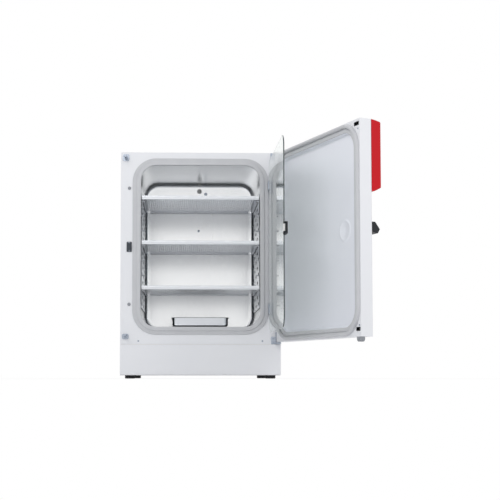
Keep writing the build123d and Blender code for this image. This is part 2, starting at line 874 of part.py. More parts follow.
def key_slab(x, margin, y_low, y_high):
    run, rise = key_width / 2 + margin, key_height / 2 + margin
    slab = block(x - run, x + run, y_low, y_high, key_z - rise, key_z + rise)
    return chamfer(slab.edges().filter_by(Axis.Y), 3)


def display_window():
    back = door_outer_y - housing_depth + housing_wall
    half = display_height / 2 + 3
    return rounded_slab(display_width + 6, display_z - half, display_z + half, 6, back, back + housing_wall)


def key(x):
    """Key cap with a collar behind the housing's wall."""
    front = door_outer_y - housing_depth
    collar_y = front + housing_wall + rest_gap
    cap = key_slab(x, 0, front - key_proud, collar_y)
    return cap + key_slab(x, 2, collar_y, collar_y + 2)


def handle_base():
    run, rise = handle_plate_width / 2, handle_plate_height / 2
    front = door_outer_y - handle_plate_sheet
    plate = block(handle_x - run, handle_x + run, front, door_outer_y, handle_z - rise, handle_z + rise)
    plate = chamfer(plate.edges().filter_by(Axis.Y), 4)
    return plate - level(spindle_radius + 0.5, handle_x, handle_z, front - 1, door_outer_y + 1)


def handle_lever():
    """Wedge-shaped lever with a hollow behind its grip for the fingers."""
    near = door_outer_y - handle_plate_sheet - rest_gap
    outline = [
        (near, handle_z - lever_bottom),
        (near, handle_z + lever_top),
        (near - lever_shoulder, handle_z + lever_top),
        (near - lever_depth, handle_z - lever_bottom / 3),
        (near - 0.75 * lever_depth, handle_z - lever_top),
    ]
    lever = profile_along_x(outline, handle_x - 24, handle_x + lever_reach)
    lever = fillet(lever.edges().filter_by(Axis.X).group_by(Axis.Y)[0], 3)
    grip_end = handle_x + lever_reach - 10
    lever -= block(handle_x + 24, grip_end, near - 14, near + 1, handle_z - 30, handle_z + 30)
    return lever - level(spindle_radius + running_clearance, handle_x, handle_z, near - 12, near + 1)


def spindle_cam():
    """Spindle with a round cam and two drive pins for the latch rods."""
    disc_back = rod_back_y - 0.5
    shaft = level(spindle_radius, handle_x, handle_z, door_outer_y - 16, disc_back - 5)
    disc = level(cam_throw + 5, handle_x, handle_z, disc_back - 6, disc_back)
    pins = [
        level(pin_radius, handle_x + end * cam_throw, handle_z, disc_back, rod_back_y + rod_thickness + 1)
        for end in (-1, 1)
    ]
    return shaft + disc + pins


def drive_slot(x):
    """The slot that a drive pin works in, wide enough for its arc."""
    run, rise = 6.3, pin_radius + 1.2
    y_low, y_high = rod_back_y - 1, rod_back_y + rod_thickness + 1
    return block(x - run, x + run, y_low, y_high, handle_z - rise, handle_z + rise)


def latch_rod(end, striker_z):
    """Flat rod from the cam to a striker, with a finger at its end: up for +1, down for -1."""
    y_low, y_high = rod_back_y, rod_back_y + rod_thickness
    finger_back = finger_front + finger_size
    half_bar, half_finger = rod_width / 2, finger_size / 2
    head_x = handle_x - end * cam_throw * 0.75
    bridge_z = striker_z - end * (tongue_height / 2 + 12.5)

    def piece(x_low, x_high, y_front, y_back, z_from, z_to):
        return block(x_low, x_high, y_front, y_back, min(z_from, z_to), max(z_from, z_to))

    shoulder = handle_z + end * 10
    rod = piece(head_x - 8, head_x + 8, y_low, y_high, handle_z - end * 10, shoulder)
    if end < 0:
        elbow = shoulder - 25
        rod += piece(head_x - 8, head_x + 2, y_low, y_high, elbow, shoulder)
        rod += piece(striker_x - half_bar, head_x + 2, y_low, y_high, elbow, elbow + 10)
        shoulder = elbow
    rod += piece(striker_x - half_bar, striker_x + half_bar, y_low, y_high, shoulder, bridge_z)
    x_low, x_high = striker_x - half_finger, striker_x + half_finger
    rod += piece(x_low, x_high, y_low, finger_back, bridge_z - end * 10, bridge_z)
    rod += piece(x_low, x_high, finger_front, finger_back, bridge_z, bridge_z + end * 8)
    return rod - drive_slot(head_x)


# Glass door, drawn closed and then swung open

def glass_pane():
    width, middle = pane_right - pane_left, (pane_left + pane_right) / 2
    pane = rounded_slab(width, pane_low, pane_high, pane_corner, pane_front_y, pane_back_y, middle)
    return chamfer(pane.faces().sort_by(Axis.Y)[0].edges(), 0.8)


def glass_clips():
    """Two clamps on the pane's edge, each with a hinge barrel."""
    clips = []
    for low in clip_lows:
        high = low + clip_length
        clamp = block(pane_right - 7, glass_axis_x, pane_front_y - 4, pane_back_y + 2.6, low, high)
        clamp = chamfer(clamp.edges().filter_by(Axis.Z).group_by(Axis.X)[0], 1)
        clamp -= block(pane_right - 40, pane_right, pane_front_y, pane_back_y, low - 1, high + 1)
        barrel = upright(5.5, glass_axis_x, glass_axis_y, low, high)
        bore = upright(glass_pin_radius + running_clearance, glass_axis_x, glass_axis_y, low - 1, high + 1)
        clips.append(clamp + barrel - bore)
    return Compound(clips)


def glass_catch():
    """Black grip on the pane's free edge, with two arms that hold the roller."""
    low = catch_z - catch_height / 2
    high = low + catch_height
    plate = block(catch_left, pane_left + 22, pane_front_y - catch_plate, pane_front_y, low, high)
    plate = chamfer(plate.edges().filter_by(Axis.Z).group_by(Axis.Y)[0], 2.5)
    for z_low in (low, high - catch_arm):
        plate += block(catch_left, pane_left - 13, pane_front_y, catch_arm_y, z_low, z_low + catch_arm)
    return plate - upright(2.1, roller_x, roller_y, low + 2, high - 2)


def catch_roller():
    """White roller on a pin between the catch's arms."""
    low = catch_z - catch_height / 2
    high = low + catch_height
    play = catch_arm + rest_gap
    roller = upright(roller_radius, roller_x, roller_y, low + play, high - play)
    return roller + upright(2, roller_x, roller_y, low + 2.3, high - 2.3)


# Loose interior

def shelf(rack_level):
    """Perforated sheet with side flanges and a rolled front lip, at one level of the racks."""
    slot_bottom = first_slot + rack_level * rack_pitch - rack_slot_height / 2
    top = slot_bottom + shelf_lip_height
    half = shelf_width / 2
    low = top - shelf_lip_height
    sheet_low = top - shelf_sheet
    tray = block(-half, half, shelf_front, shelf_rear, sheet_low, top)
    tray = fillet(tray.edges().filter_by(Axis.Z).group_by(Axis.Y)[-1], chamber_cove)
    hole = Box(hole_length, hole_depth, 10)
    holes = []
    for row in range(hole_rows):
        y = (shelf_front + shelf_rear) / 2 + (row - (hole_rows - 1) / 2) * hole_pitch_y
        for column in range(hole_columns):
            x = (column - (hole_columns - 1) / 2) * hole_pitch_x
            holes.append(Pos(x, y, top) * hole)
    tray -= holes
    for x in (-half, half - shelf_sheet):
        tray += block(x, x + shelf_sheet, shelf_front, shelf_rear - chamber_cove, low, sheet_low)
    lip_half = shelf_lip_width / 2
    lip = block(-lip_half, lip_half, shelf_front, shelf_front + shelf_lip_depth, low, top)
    lip = fillet(lip.edges().filter_by(Axis.X).group_by(Axis.Y)[0], 2)
    return tray + lip


def water_pan():
    """Shallow rounded tray with a rim, on four pressed feet."""
    half = pan_width / 2
    y_low = face_y + pan_front_inset
    y_high = y_low + pan_depth
    low = chamber_floor + pan_foot + rest_gap
    high = low + pan_height
    outer = block(-half, half, y_low, y_high, low, high)
    outer = fillet(outer.edges().filter_by(Axis.Z), pan_corner)
    outer = chamfer(outer.faces().sort_by(Axis.Z)[0].edges(), pan_base_slope)
    inside = half - pan_sheet
    inner = block(-inside, inside, y_low + pan_sheet, y_high - pan_sheet, low + pan_sheet, high + 1)
    inner = fillet(inner.edges().filter_by(Axis.Z), pan_corner - pan_sheet)
    inner = chamfer(inner.faces().sort_by(Axis.Z)[0].edges(), pan_base_slope - pan_sheet / 2)
    rim = block(-half - pan_rim, half + pan_rim, y_low - pan_rim, y_high + pan_rim, high - 1.5, high)
    rim = fillet(rim.edges().filter_by(Axis.Z), pan_corner + pan_rim)
    across = half - pan_foot_inset
    spots = [(x, y) for x in (-across, across) for y in (y_low + pan_foot_inset, y_high - pan_foot_inset)]
    legs = [block(x - 5, x + 5, y - 5, y + 5, low - pan_foot, low + pan_sheet / 2) for x, y in spots]
    return outer + rim + legs - inner


cabinet_parts = {
    "housing_shell": housing_shell(),
    "front_frame": front_frame(),
    "base_panel": base_panel(),
    "rear_panel": rear_panel(),
    "bottom_plate": bottom_plate(),
    "deck_plate": deck_plate(),
    "feet": feet(),
    "chamber": chamber(),
    "chamber_cradles": chamber_cradles(),
    "chamber_insulation": chamber_insulation(),
    "chamber_heater": chamber_heater(),
    "frame_gasket": frame_gasket(),
    "hinge_bracket_lower": hinge_bracket(False),
    "hinge_bracket_upper": hinge_bracket(True),
    "glass_hinge_brackets": glass_hinge_brackets(),
    "latch_striker_top": striker(striker_top_z, striker_top_z - 15.5, striker_top_z + 15.5),
    "latch_striker_bottom": striker(striker_bottom_z, striker_bottom_z - 17.5, striker_bottom_z + 7),
    "glass_keeper": glass_keeper(),
    "frame_bumpers": frame_bumpers(),
    "frame_screws": frame_screws(),
    "rack_left": rack(-1),
    "rack_right": rack(1),
    "co2_sensor": port_plug(12, sensor_stem, *sensor_place, 22, 8),
    "gas_nozzle": port_plug(8, gas_stem, *gas_place, gas_stem_reach, 5),
    "temperature_probe": port_plug(6, probe_stem, *probe_place, 14, 10),
    "power_supply": power_supply(),
    "control_board": control_board(),
    "gas_valve": gas_valve(),
    "gas_tube": gas_tube(),
    "gas_fitting": gas_fitting(),
    "mains_inlet": mains_inlet(),
    "main_switch": main_switch(),
    "water_pan": water_pan(),
}
for name, rack_level in shelf_levels.items():
    cabinet_parts[name] = shelf(rack_level)

door_parts = {
    "door_shell": door_shell(),
    "door_insulation": door_insulation(),
    "door_liner": door_liner(),
    "door_gasket": door_gasket(),
    "slot_bezels": slot_bezels(),
    "door_screws": door_screws(),
    "door_guide_shoe": door_guide_shoe(),
    "door_bushes": door_bushes(),
    "control_housing": control_housing(),
    "display_window": display_window(),
    "handle_base": handle_base(),
    "handle_lever": handle_lever(),
    "spindle_cam": spindle_cam(),
    "latch_rod_upper": latch_rod(1, striker_top_z),
    "latch_rod_lower": latch_rod(-1, striker_bottom_z),
}
for number, x in enumerate(key_places):
    door_parts[f"key_{number + 1}"] = key(x)

glass_parts = {
    "glass_pane": glass_pane(),
    "glass_clips": glass_clips(),
    "glass_catch": glass_catch(),
    "catch_roller": catch_roller(),
}

for name, part in cabinet_parts.items():
    export_step(part, f"parts/{name}.step")
for name, part in door_parts.items():
    export_step(on_door(part), f"parts/{name}.step")
for name, part in glass_parts.items():
    export_step(on_glass(part), f"parts/{name}.step")
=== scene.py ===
# %% [markdown]
# # Carbon dioxide incubator, with its outer door and its glass door open
#
# This lesson dresses a cabinet for growing cells: a white painted housing, a stainless chamber
# with perforated shelves, a glass inner door and a thick outer door with a red control housing.
# The CAD model is loaded first and never moved. Each later cell adds a finish or a finer piece
# at the place that the CAD gives, and says why it is made that way. Lengths are in metres.

# %% Load the CAD frame
import json
import math
import bpy
import numpy as np
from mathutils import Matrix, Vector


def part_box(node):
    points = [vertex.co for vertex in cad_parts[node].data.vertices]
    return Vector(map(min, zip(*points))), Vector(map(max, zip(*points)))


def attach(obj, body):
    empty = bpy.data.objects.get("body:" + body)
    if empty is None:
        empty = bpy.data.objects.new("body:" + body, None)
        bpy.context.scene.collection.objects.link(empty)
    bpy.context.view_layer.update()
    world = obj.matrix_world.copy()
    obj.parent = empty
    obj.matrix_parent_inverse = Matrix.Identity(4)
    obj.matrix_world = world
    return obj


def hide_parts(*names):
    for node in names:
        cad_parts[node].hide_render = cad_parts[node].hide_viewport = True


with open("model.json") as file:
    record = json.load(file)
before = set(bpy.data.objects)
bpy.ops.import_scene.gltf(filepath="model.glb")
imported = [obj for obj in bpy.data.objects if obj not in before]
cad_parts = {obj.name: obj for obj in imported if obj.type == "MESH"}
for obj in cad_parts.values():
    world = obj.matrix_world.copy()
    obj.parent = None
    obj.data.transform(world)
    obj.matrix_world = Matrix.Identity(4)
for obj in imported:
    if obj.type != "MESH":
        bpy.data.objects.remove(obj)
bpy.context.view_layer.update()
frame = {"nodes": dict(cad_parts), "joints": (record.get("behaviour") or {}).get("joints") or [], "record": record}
nodes = frame["nodes"]

# %% [markdown]
# ## Places and angles
#
# Both doors hang on upright pins. The record's joints say where the pins stand, so the doors'
# new pieces can be worked out closed, flat against the cabinet, and then swung open by the same
# angle as the CAD. Working in the closed position keeps every outline a plain rectangle.

# %% Hinge places and driving sizes
joints = {joint["name"]: joint for joint in frame["joints"]}
door_pin = np.array(joints["door_swing"]["pos_m"])
glass_pin = np.array(joints["glass_swing"]["pos_m"])
door_angle = -math.radians(joints["door_swing"]["range_deg"][0])
glass_angle = math.radians(91.3)
face_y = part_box("front_frame")[0][1]
mouth_width, mouth_low, mouth_high, mouth_corner = 0.553, 0.2385, 0.9895, 0.072
print("front face at y", round(face_y, 4), "door open by", round(math.degrees(door_angle)), "degrees")

# %% [markdown]
# ## Camera
#
# The photograph is taken from straight in front, low down at the height of the feet, with the
# cabinet left of the middle. A view camera would shift its lens for that. Most of the framing is
# done here by turning the camera a little, and the rest by a small lens shift, because the same
# shift stays on when the object is looked at from other sides.

# %% Make the camera
scene = bpy.context.scene
camera = bpy.data.objects.new("camera", bpy.data.cameras.new("camera"))
scene.collection.objects.link(camera)
scene.camera = camera
camera_place, look_up, look_right, focal_length = (-0.058, -5.135, 0.0117), 3.35, 1.49, 75.07
camera.location = camera_place
camera.rotation_euler = (math.radians(90 + look_up), 0, math.radians(-look_right))
camera.data.lens = focal_length
camera.data.shift_x = 0.07
camera.data.shift_y = 0.13
scene.view_settings.view_transform = "Standard"
print("camera lens", camera.data.lens, "mm")

# %% [markdown]
# ## Floor and light
#
# A product like this is shot on white paper in a room full of soft light. The world gives an even
# base, three large lamps give form, and the paper is white to the camera while it still takes the
# cabinet's shadow. Metal and glass see the same white through their glossy and transmitted rays,
# so the steel looks bright without stronger lamps.

# %% Two helpers for shader trees
def math_node(tree, operation, first, second=None):
    """A Math node on one or two signals, and its result."""
    node = tree.nodes.new("ShaderNodeMath")
    node.operation = operation
    tree.links.new(first, node.inputs[0])
    if second:
        tree.links.new(second, node.inputs[1])
    return node.outputs[0]


def ramp_node(tree, signal, start, stop, low=0.0, high=1.0):
    """A straight ramp from low, where the signal is start, to high, where it is stop, held outside."""
    ramp = tree.nodes.new("ShaderNodeMapRange")
    for socket, value in (("From Min", start), ("From Max", stop), ("To Min", low), ("To Max", high)):
        ramp.inputs[socket].default_value = value
    tree.links.new(signal, ramp.inputs["Value"])
    return ramp.outputs[0]


print("node helpers ready")

# %% White world for the camera and for reflections
world = bpy.data.worlds.new("studio")
scene.world = world
world.use_nodes = True
sky = world.node_tree
sky.nodes.clear()
sky_out = sky.nodes.new("ShaderNodeOutputWorld")
sky_mix = sky.nodes.new("ShaderNodeMixShader")
sky_soft = sky.nodes.new("ShaderNodeBackground")
sky_white = sky.nodes.new("ShaderNodeBackground")
sky_soft.inputs["Color"].default_value = (0.97, 0.98, 1.0, 1)
sky_soft.inputs["Strength"].default_value = 0.62
sky_white.inputs["Color"].default_value = (1, 1, 1, 1)
sky_white.inputs["Strength"].default_value = 1.0


def seen_directly(tree):
    """1 for camera, glossy and transmitted rays, and 0 for the rays that carry diffuse light."""
    rays = tree.nodes.new("ShaderNodeLightPath").outputs
    seen = math_node(tree, "MAXIMUM", rays["Is Camera Ray"], rays["Is Glossy Ray"])
    return math_node(tree, "MAXIMUM", seen, rays["Is Transmission Ray"])


sky.links.new(seen_directly(sky), sky_mix.inputs[0])
sky.links.new(sky_soft.outputs[0], sky_mix.inputs[1])
sky.links.new(sky_white.outputs[0], sky_mix.inputs[2])
sky.links.new(sky_mix.outputs[0], sky_out.inputs[0])
print("world ready")


# %% Three soft lamps
def soft_lamp(name, place, target, size, power):
    """A square area lamp that looks from place towards target."""
    data = bpy.data.lights.new(name, "AREA")
    data.size = size
    data.energy = power
    lamp = bpy.data.objects.new(name, data)
    scene.collection.objects.link(lamp)
    lamp.location = place
    aim = np.array(target, float) - np.array(place, float)
    flat = math.hypot(aim[0], aim[1])
    lamp.rotation_euler = (math.atan2(flat, -aim[2]), 0, math.atan2(aim[1], aim[0]) - math.pi / 2)
    return lamp


soft_lamp("key_lamp", (-1.6, -3.6, 2.6), (0, -0.2, 0.6), 2.2, 34)
soft_lamp("fill_lamp", (2.8, -3.0, 1.8), (0.2, -0.4, 0.6), 2.2, 18)
soft_lamp("top_lamp", (0, 0.2, 3.4), (0, -0.2, 0.5), 2.4, 16)

# %% Paper floor
bpy.ops.mesh.primitive_plane_add(size=40)
paper = bpy.context.object
paper.name = "paper_floor"
paper_finish = bpy.data.materials.new("white_paper")
paper_finish.use_nodes = True
tree = paper_finish.node_tree
tree.nodes.clear()
paper_out = tree.nodes.new("ShaderNodeOutputMaterial")
paper_mix = tree.nodes.new("ShaderNodeMixShader")
paper_matte = tree.nodes.new("ShaderNodeBsdfDiffuse")
paper_glow = tree.nodes.new("ShaderNodeEmission")
paper_matte.inputs["Color"].default_value = (0.9, 0.9, 0.91, 1)
paper_glow.inputs["Color"].default_value = (1, 1, 1, 1)
paper_glow.inputs["Strength"].default_value = 1.0
paper_place = tree.nodes.new("ShaderNodeTexCoord")
paper_distance = tree.nodes.new("ShaderNodeVectorMath")
paper_distance.operation = "LENGTH"
tree.links.new(paper_place.outputs["Object"], paper_distance.inputs[0])
near, far, near_share, far_share = 0.6, 2.5, 0.9, 1.0
paper_fade = ramp_node(tree, paper_distance.outputs["Value"], near, far, near_share, far_share)
paper_share = math_node(tree, "MULTIPLY", seen_directly(tree), paper_fade)
tree.links.new(paper_share, paper_mix.inputs[0])
tree.links.new(paper_matte.outputs[0], paper_mix.inputs[1])
tree.links.new(paper_glow.outputs[0], paper_mix.inputs[2])
tree.links.new(paper_mix.outputs[0], paper_out.inputs[0])
paper.data.materials.append(paper_finish)
print("floor at z 0")

# %% [markdown]
# ## Finishes
#
# Nearly every surface here is sheet metal, rubber or moulded plastic, and each has a fine
# structure: paint has a faint orange peel, stainless sheet has a grain along which it was
# rolled, rubber is slightly dusty. All of it is built from noise in the object's own coordinates,
# stretched along the grain, so no picture is needed and nothing slides when the view changes.


# %% Small helpers for shader nodes
def paint_colour(red, green, blue):
    """The linear colour of a value read on a screen, each part from 0 to 255."""
    parts = np.array([red, green, blue]) / 255
    linear = np.where(parts <= 0.04045, parts / 12.92, ((parts + 0.055) / 1.055) ** 2.4)
    return (*[float(part) for part in linear], 1.0)


def new_finish(name, colour, roughness, metallic=0.0, **sockets):
    """A Principled material. Its constants are set on the shader's own sockets."""
    material = bpy.data.materials.new(name)
    material.use_nodes = True
    shader = material.node_tree.nodes["Principled BSDF"]
    shader.inputs["Base Color"].default_value = colour
    shader.inputs["Roughness"].default_value = roughness
    shader.inputs["Metallic"].default_value = metallic
    for socket, value in sockets.items():
        shader.inputs[socket.replace("_", " ")].default_value = value
    return material


def noise(material, scale, stretch=(1, 1, 1), detail=3.0):
    """Noise on object coordinates, with its grain stretched along an axis by a small factor there."""
    tree = material.node_tree
    place = tree.nodes.new("ShaderNodeTexCoord")
    grain = tree.nodes.new("ShaderNodeMapping")
    grain.inputs["Scale"].default_value = stretch
    cloud = tree.nodes.new("ShaderNodeTexNoise")
    cloud.inputs["Scale"].default_value = scale
    cloud.inputs["Detail"].default_value = detail
    tree.links.new(place.outputs["Object"], grain.inputs["Vector"])
    tree.links.new(grain.outputs[0], cloud.inputs["Vector"])
    return cloud.outputs["Fac"]


def vary(material, socket, signal, low, high):
    """The noise, which mostly lies between 0.3 and 0.7, drives one socket from low to high."""
    tree = material.node_tree
    spread = ramp_node(tree, signal, 0.3, 0.7, low, high)
    tree.links.new(spread, tree.nodes["Principled BSDF"].inputs[socket])


def tint(material, signal, first, second):
    """The noise mixes two colours into the base colour."""
    tree = material.node_tree
    mixer = tree.nodes.new("ShaderNodeMix")
    mixer.data_type = "RGBA"
    mixer.inputs["A"].default_value = first
    mixer.inputs["B"].default_value = second
    tree.links.new(signal, mixer.inputs["Factor"])
    tree.links.new(mixer.outputs["Result"], tree.nodes["Principled BSDF"].inputs["Base Color"])


def relief(material, signal, height, strength=1.0):
    """The noise lifts the surface by up to height, as a bump."""
    tree = material.node_tree
    bump = tree.nodes.new("ShaderNodeBump")
    bump.inputs["Strength"].default_value = strength
    bump.inputs["Distance"].default_value = height
    before = tree.nodes["Principled BSDF"].inputs["Normal"]
    if before.is_linked:
        tree.links.new(before.links[0].from_socket, bump.inputs["Normal"])
    tree.links.new(signal, bump.inputs["Height"])
    tree.links.new(bump.outputs[0], before)


print("shader helpers ready")

# %% [markdown]
# ### Powder-coated sheet
#
# The housing is steel sheet with baked powder paint. It could be a flat white, but then its large
# faces look like paper. A broad, very weak change of tone keeps them alive, and an orange peel of
# about a millimetre breaks the highlights.

# %% White paint
painted = paint_colour(240, 241, 244)
white_paint = new_finish("white_paint", painted, 0.38, Coat_Weight=0.15, Coat_Roughness=0.3)
tint(white_paint, noise(white_paint, 2.5), paint_colour(238, 239, 243), paint_colour(244, 245, 247))
vary(white_paint, "Roughness", noise(white_paint, 30), 0.34, 0.44)
relief(white_paint, noise(white_paint, 700, detail=1.0), 0.00003, 0.5)
print(white_paint.name)

# %% [markdown]
# ### Stainless steel
#
# The chamber is drawn from bright rolled sheet, so it mirrors the white room softly and slightly
# unevenly. The liner of the door is the same steel with a duller face. The shelves and racks are
# cut from sheet with a visible grain. One recipe serves all of them: metal with a stretched
# noise in its roughness and, much weaker, in its relief.


# %% Stainless finishes
def steel(name, colour, low, high, grain, metallic=1.0, waves=0.0):
    """Metal whose roughness runs from low to high along a stretched grain, with optional soft waves."""
    material = new_finish(name, colour, (low + high) / 2, metallic)
    fine = noise(material, 400, grain, detail=3.0)
    vary(material, "Roughness", fine, low, high)
    dark = tuple(0.95 * part for part in colour[:3]) + (1.0,)
    tint(material, noise(material, 4, detail=2.0), dark, colour)
    relief(material, fine, 0.000003, 0.12)
    if waves:
        relief(material, noise(material, 3, detail=0.0), waves, 1.0)
    return material


chamber_steel = steel("chamber_steel", paint_colour(253, 254, 255), 0.22, 0.28, (1, 1, 0.05), waves=0.001)
liner_steel = steel("liner_steel", paint_colour(245, 247, 254), 0.32, 0.38, (1, 1, 0.05), 0.1, waves=0.001)
shelf_steel = steel("shelf_steel", paint_colour(214, 217, 222), 0.3, 0.42, (0.05, 1, 1))
# The lip's steel is a lighter copy of the shelf's: a painted highlight along the folded front edge.
lip_steel_painted_highlight = steel("lip_steel_painted_highlight", paint_colour(226, 229, 234), 0.2, 0.3, (0.05, 1, 1))
bracket_steel = steel("bracket_steel", paint_colour(168, 176, 188), 0.24, 0.36, (1, 1, 0.3))
rack_steel = steel("rack_steel", paint_colour(186, 190, 196), 0.16, 0.24, (1, 0.1, 1))
# A dark steel: the glass keeper's own dark plate, and also painted shade on the turns of the water pan.
dark_steel_and_painted_shade = steel("dark_steel_and_painted_shade", paint_colour(66, 70, 76), 0.3, 0.4, (1, 1, 0.3), 0.7)
print("steels:", chamber_steel.name, liner_steel.name, shelf_steel.name, bracket_steel.name, rack_steel.name)

# %% [markdown]
# ### The wall behind the racks
#
# Little light gets in between a rack and the wall behind it, and bright metal shows that as a dark
# upright stretch with soft ends. The lamps here are large, and leave it too bright. So the
# chamber's colour is darkened there by three ramps, one over the distance from the middle and two
# over the height. Multiplied, they are 1 behind the racks and 0 elsewhere.

# %% Darker metal behind the racks
shade_starts, shade_full = 0.262, 0.275
shade_colour = paint_colour(92, 97, 104)
end_before, end_after = 0.03, 0.01
rack_low, rack_high = [corner[2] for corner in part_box("rack_left")]
tree = chamber_steel.node_tree
steel_place = tree.nodes.new("ShaderNodeTexCoord")
steel_axes = tree.nodes.new("ShaderNodeSeparateXYZ")
tree.links.new(steel_place.outputs["Object"], steel_axes.inputs[0])
from_middle = math_node(tree, "ABSOLUTE", steel_axes.outputs["X"])
height = steel_axes.outputs["Z"]
beside = ramp_node(tree, from_middle, shade_starts, shade_full)
above = ramp_node(tree, height, rack_low - end_before, rack_low + end_after)
below = ramp_node(tree, height, rack_high + end_before, rack_high - end_after)
behind_racks = math_node(tree, "MULTIPLY", math_node(tree, "MULTIPLY", beside, above), below)
base_colour = tree.nodes["Principled BSDF"].inputs["Base Color"]
darker = tree.nodes.new("ShaderNodeMix")
darker.data_type = "RGBA"
darker.inputs["B"].default_value = shade_colour
tree.links.new(base_colour.links[0].from_socket, darker.inputs["A"])
tree.links.new(behind_racks, darker.inputs["Factor"])
tree.links.new(darker.outputs["Result"], base_colour)
print("wall behind the racks is darker from z", round(rack_low, 3), "to", round(rack_high, 3))

# %% [markdown]
# ### Rubber and moulded plastic
#
# The gaskets are grey silicone, matt with a slight sheen, and a little dusty in their grooves.
# The feet are black rubber. The handle, catch and bezels are black moulded plastic with a spark
# eroded skin, whose relief is finer than a tenth of a millimetre. The control housing is glossy
# red.

# %% Rubber and plastic finishes
gasket_grey = paint_colour(204, 205, 208)
grey_rubber = new_finish("grey_rubber", gasket_grey, 0.5, Sheen_Weight=0.15, Sheen_Roughness=0.5)
tint(grey_rubber, noise(grey_rubber, 18), paint_colour(199, 200, 204), paint_colour(209, 210, 212))
relief(grey_rubber, noise(grey_rubber, 900, detail=2.0), 0.00002, 0.4)

black_rubber = new_finish("black_rubber", paint_colour(26, 26, 30), 0.7)
tint(black_rubber, noise(black_rubber, 40), paint_colour(20, 20, 24), paint_colour(34, 34, 38))
relief(black_rubber, noise(black_rubber, 1200, detail=2.0), 0.00004, 0.5)

black_plastic = new_finish("black_plastic", paint_colour(28, 32, 37), 0.42, Specular_IOR_Level=0.25)
vary(black_plastic, "Roughness", noise(black_plastic, 90), 0.36, 0.5)
relief(black_plastic, noise(black_plastic, 2200, detail=1.0), 0.00003, 0.5)

white_plastic = new_finish("white_plastic", paint_colour(232, 232, 230), 0.4)
tint(white_plastic, noise(white_plastic, 60), paint_colour(226, 226, 224), paint_colour(236, 236, 234))

grey_plastic = new_finish("grey_plastic", paint_colour(150, 153, 158), 0.45)
vary(grey_plastic, "Roughness", noise(grey_plastic, 80), 0.38, 0.52)
relief(grey_plastic, noise(grey_plastic, 1800, detail=1.0), 0.00003, 0.5)

key_plastic = new_finish("key_plastic", paint_colour(214, 217, 222), 0.45)
vary(key_plastic, "Roughness", noise(key_plastic, 120), 0.4, 0.55)
relief(key_plastic, noise(key_plastic, 2000, detail=1.0), 0.00002, 0.5)

red_plastic = new_finish("red_plastic", paint_colour(206, 26, 36), 0.4, Specular_IOR_Level=0.12)
tint(red_plastic, noise(red_plastic, 4), paint_colour(202, 22, 32), paint_colour(211, 30, 39))
relief(red_plastic, noise(red_plastic, 500, detail=1.0), 0.00002, 0.4)
print("rubbers and plastics ready")

# %% [markdown]
# ### Glass, display and the things at the back
#
# The inner door is one pane of clear glass. Seen edge-on its rim is almost black-green, because
# light runs a long way through it, so the rim gets its own dark finish. The display is a dark
# glossy pane, and the gas fitting is turned brass.

# %% Glass, display, brass and inner finishes
clear_glass = new_finish("clear_glass", (0.93, 0.98, 0.96, 1), 0.02, Transmission_Weight=1.0, IOR=1.5)
vary(clear_glass, "Roughness", noise(clear_glass, 6), 0.0, 0.03)

glass_rim = new_finish("glass_rim", paint_colour(46, 58, 62), 0.12, Coat_Weight=0.6, Coat_Roughness=0.05)
tint(glass_rim, noise(glass_rim, 12), paint_colour(40, 52, 56), paint_colour(58, 72, 76))

pane_dark = paint_colour(22, 26, 32)
display_pane = new_finish("display_pane", pane_dark, 0.08, Coat_Weight=1.0, Coat_Roughness=0.03)
tint(display_pane, noise(display_pane, 8), paint_colour(18, 22, 28), paint_colour(28, 32, 40))

digit_glow = new_finish("digit_glow", paint_colour(150, 215, 235), 0.3, Emission_Strength=0.7)
glowing = digit_glow.node_tree.nodes["Principled BSDF"]
glowing.inputs["Emission Color"].default_value = paint_colour(140, 215, 240)
tint(digit_glow, noise(digit_glow, 300), paint_colour(140, 208, 230), paint_colour(160, 222, 240))

brass = new_finish("brass", paint_colour(196, 164, 96), 0.28, 1.0)
vary(brass, "Roughness", noise(brass, 200, (1, 0.1, 1)), 0.2, 0.4)
relief(brass, noise(brass, 900, (1, 0.1, 1)), 0.00002, 0.4)

aluminium = new_finish("aluminium", paint_colour(200, 202, 205), 0.4, 1.0)
vary(aluminium, "Roughness", noise(aluminium, 60, (1, 0.1, 1)), 0.32, 0.5)

foam = new_finish("foam", paint_colour(226, 216, 186), 0.9)
tint(foam, noise(foam, 60), paint_colour(214, 202, 170), paint_colour(234, 226, 200))
relief(foam, noise(foam, 350), 0.0006)

support_foam = new_finish("support_foam", paint_colour(84, 84, 90), 0.85)
tint(support_foam, noise(support_foam, 90), paint_colour(74, 74, 80), paint_colour(96, 96, 102))
relief(support_foam, noise(support_foam, 500), 0.0003)

heater_mat = new_finish("heater_mat", paint_colour(206, 122, 74), 0.55)
tint(heater_mat, noise(heater_mat, 30, (1, 1, 0.1)), paint_colour(196, 110, 64), paint_colour(214, 134, 86))

circuit_board = new_finish("circuit_board", paint_colour(24, 92, 52), 0.35)
specks = noise(circuit_board, 260, detail=0.0)
tint(circuit_board, specks, paint_colour(20, 80, 44), paint_colour(40, 120, 72))

silicone = new_finish("silicone", paint_colour(222, 222, 220), 0.35, Subsurface_Weight=0.1)
vary(silicone, "Roughness", noise(silicone, 50), 0.3, 0.45)
print("all finishes:", len(bpy.data.materials))

# %% [markdown]
# ### Finishes on the CAD nodes
#
# The record says which material slot each node takes, so the finishes are handed out by slot.
# Two kinds of steel part differ from their slot's usual finish, and are named apart.
# A CAD mesh is loose triangles. Welding them and rounding their edges by a fraction of a
# millimetre, with modifiers, lets each edge catch the light, as folded sheet and moulded plastic do.

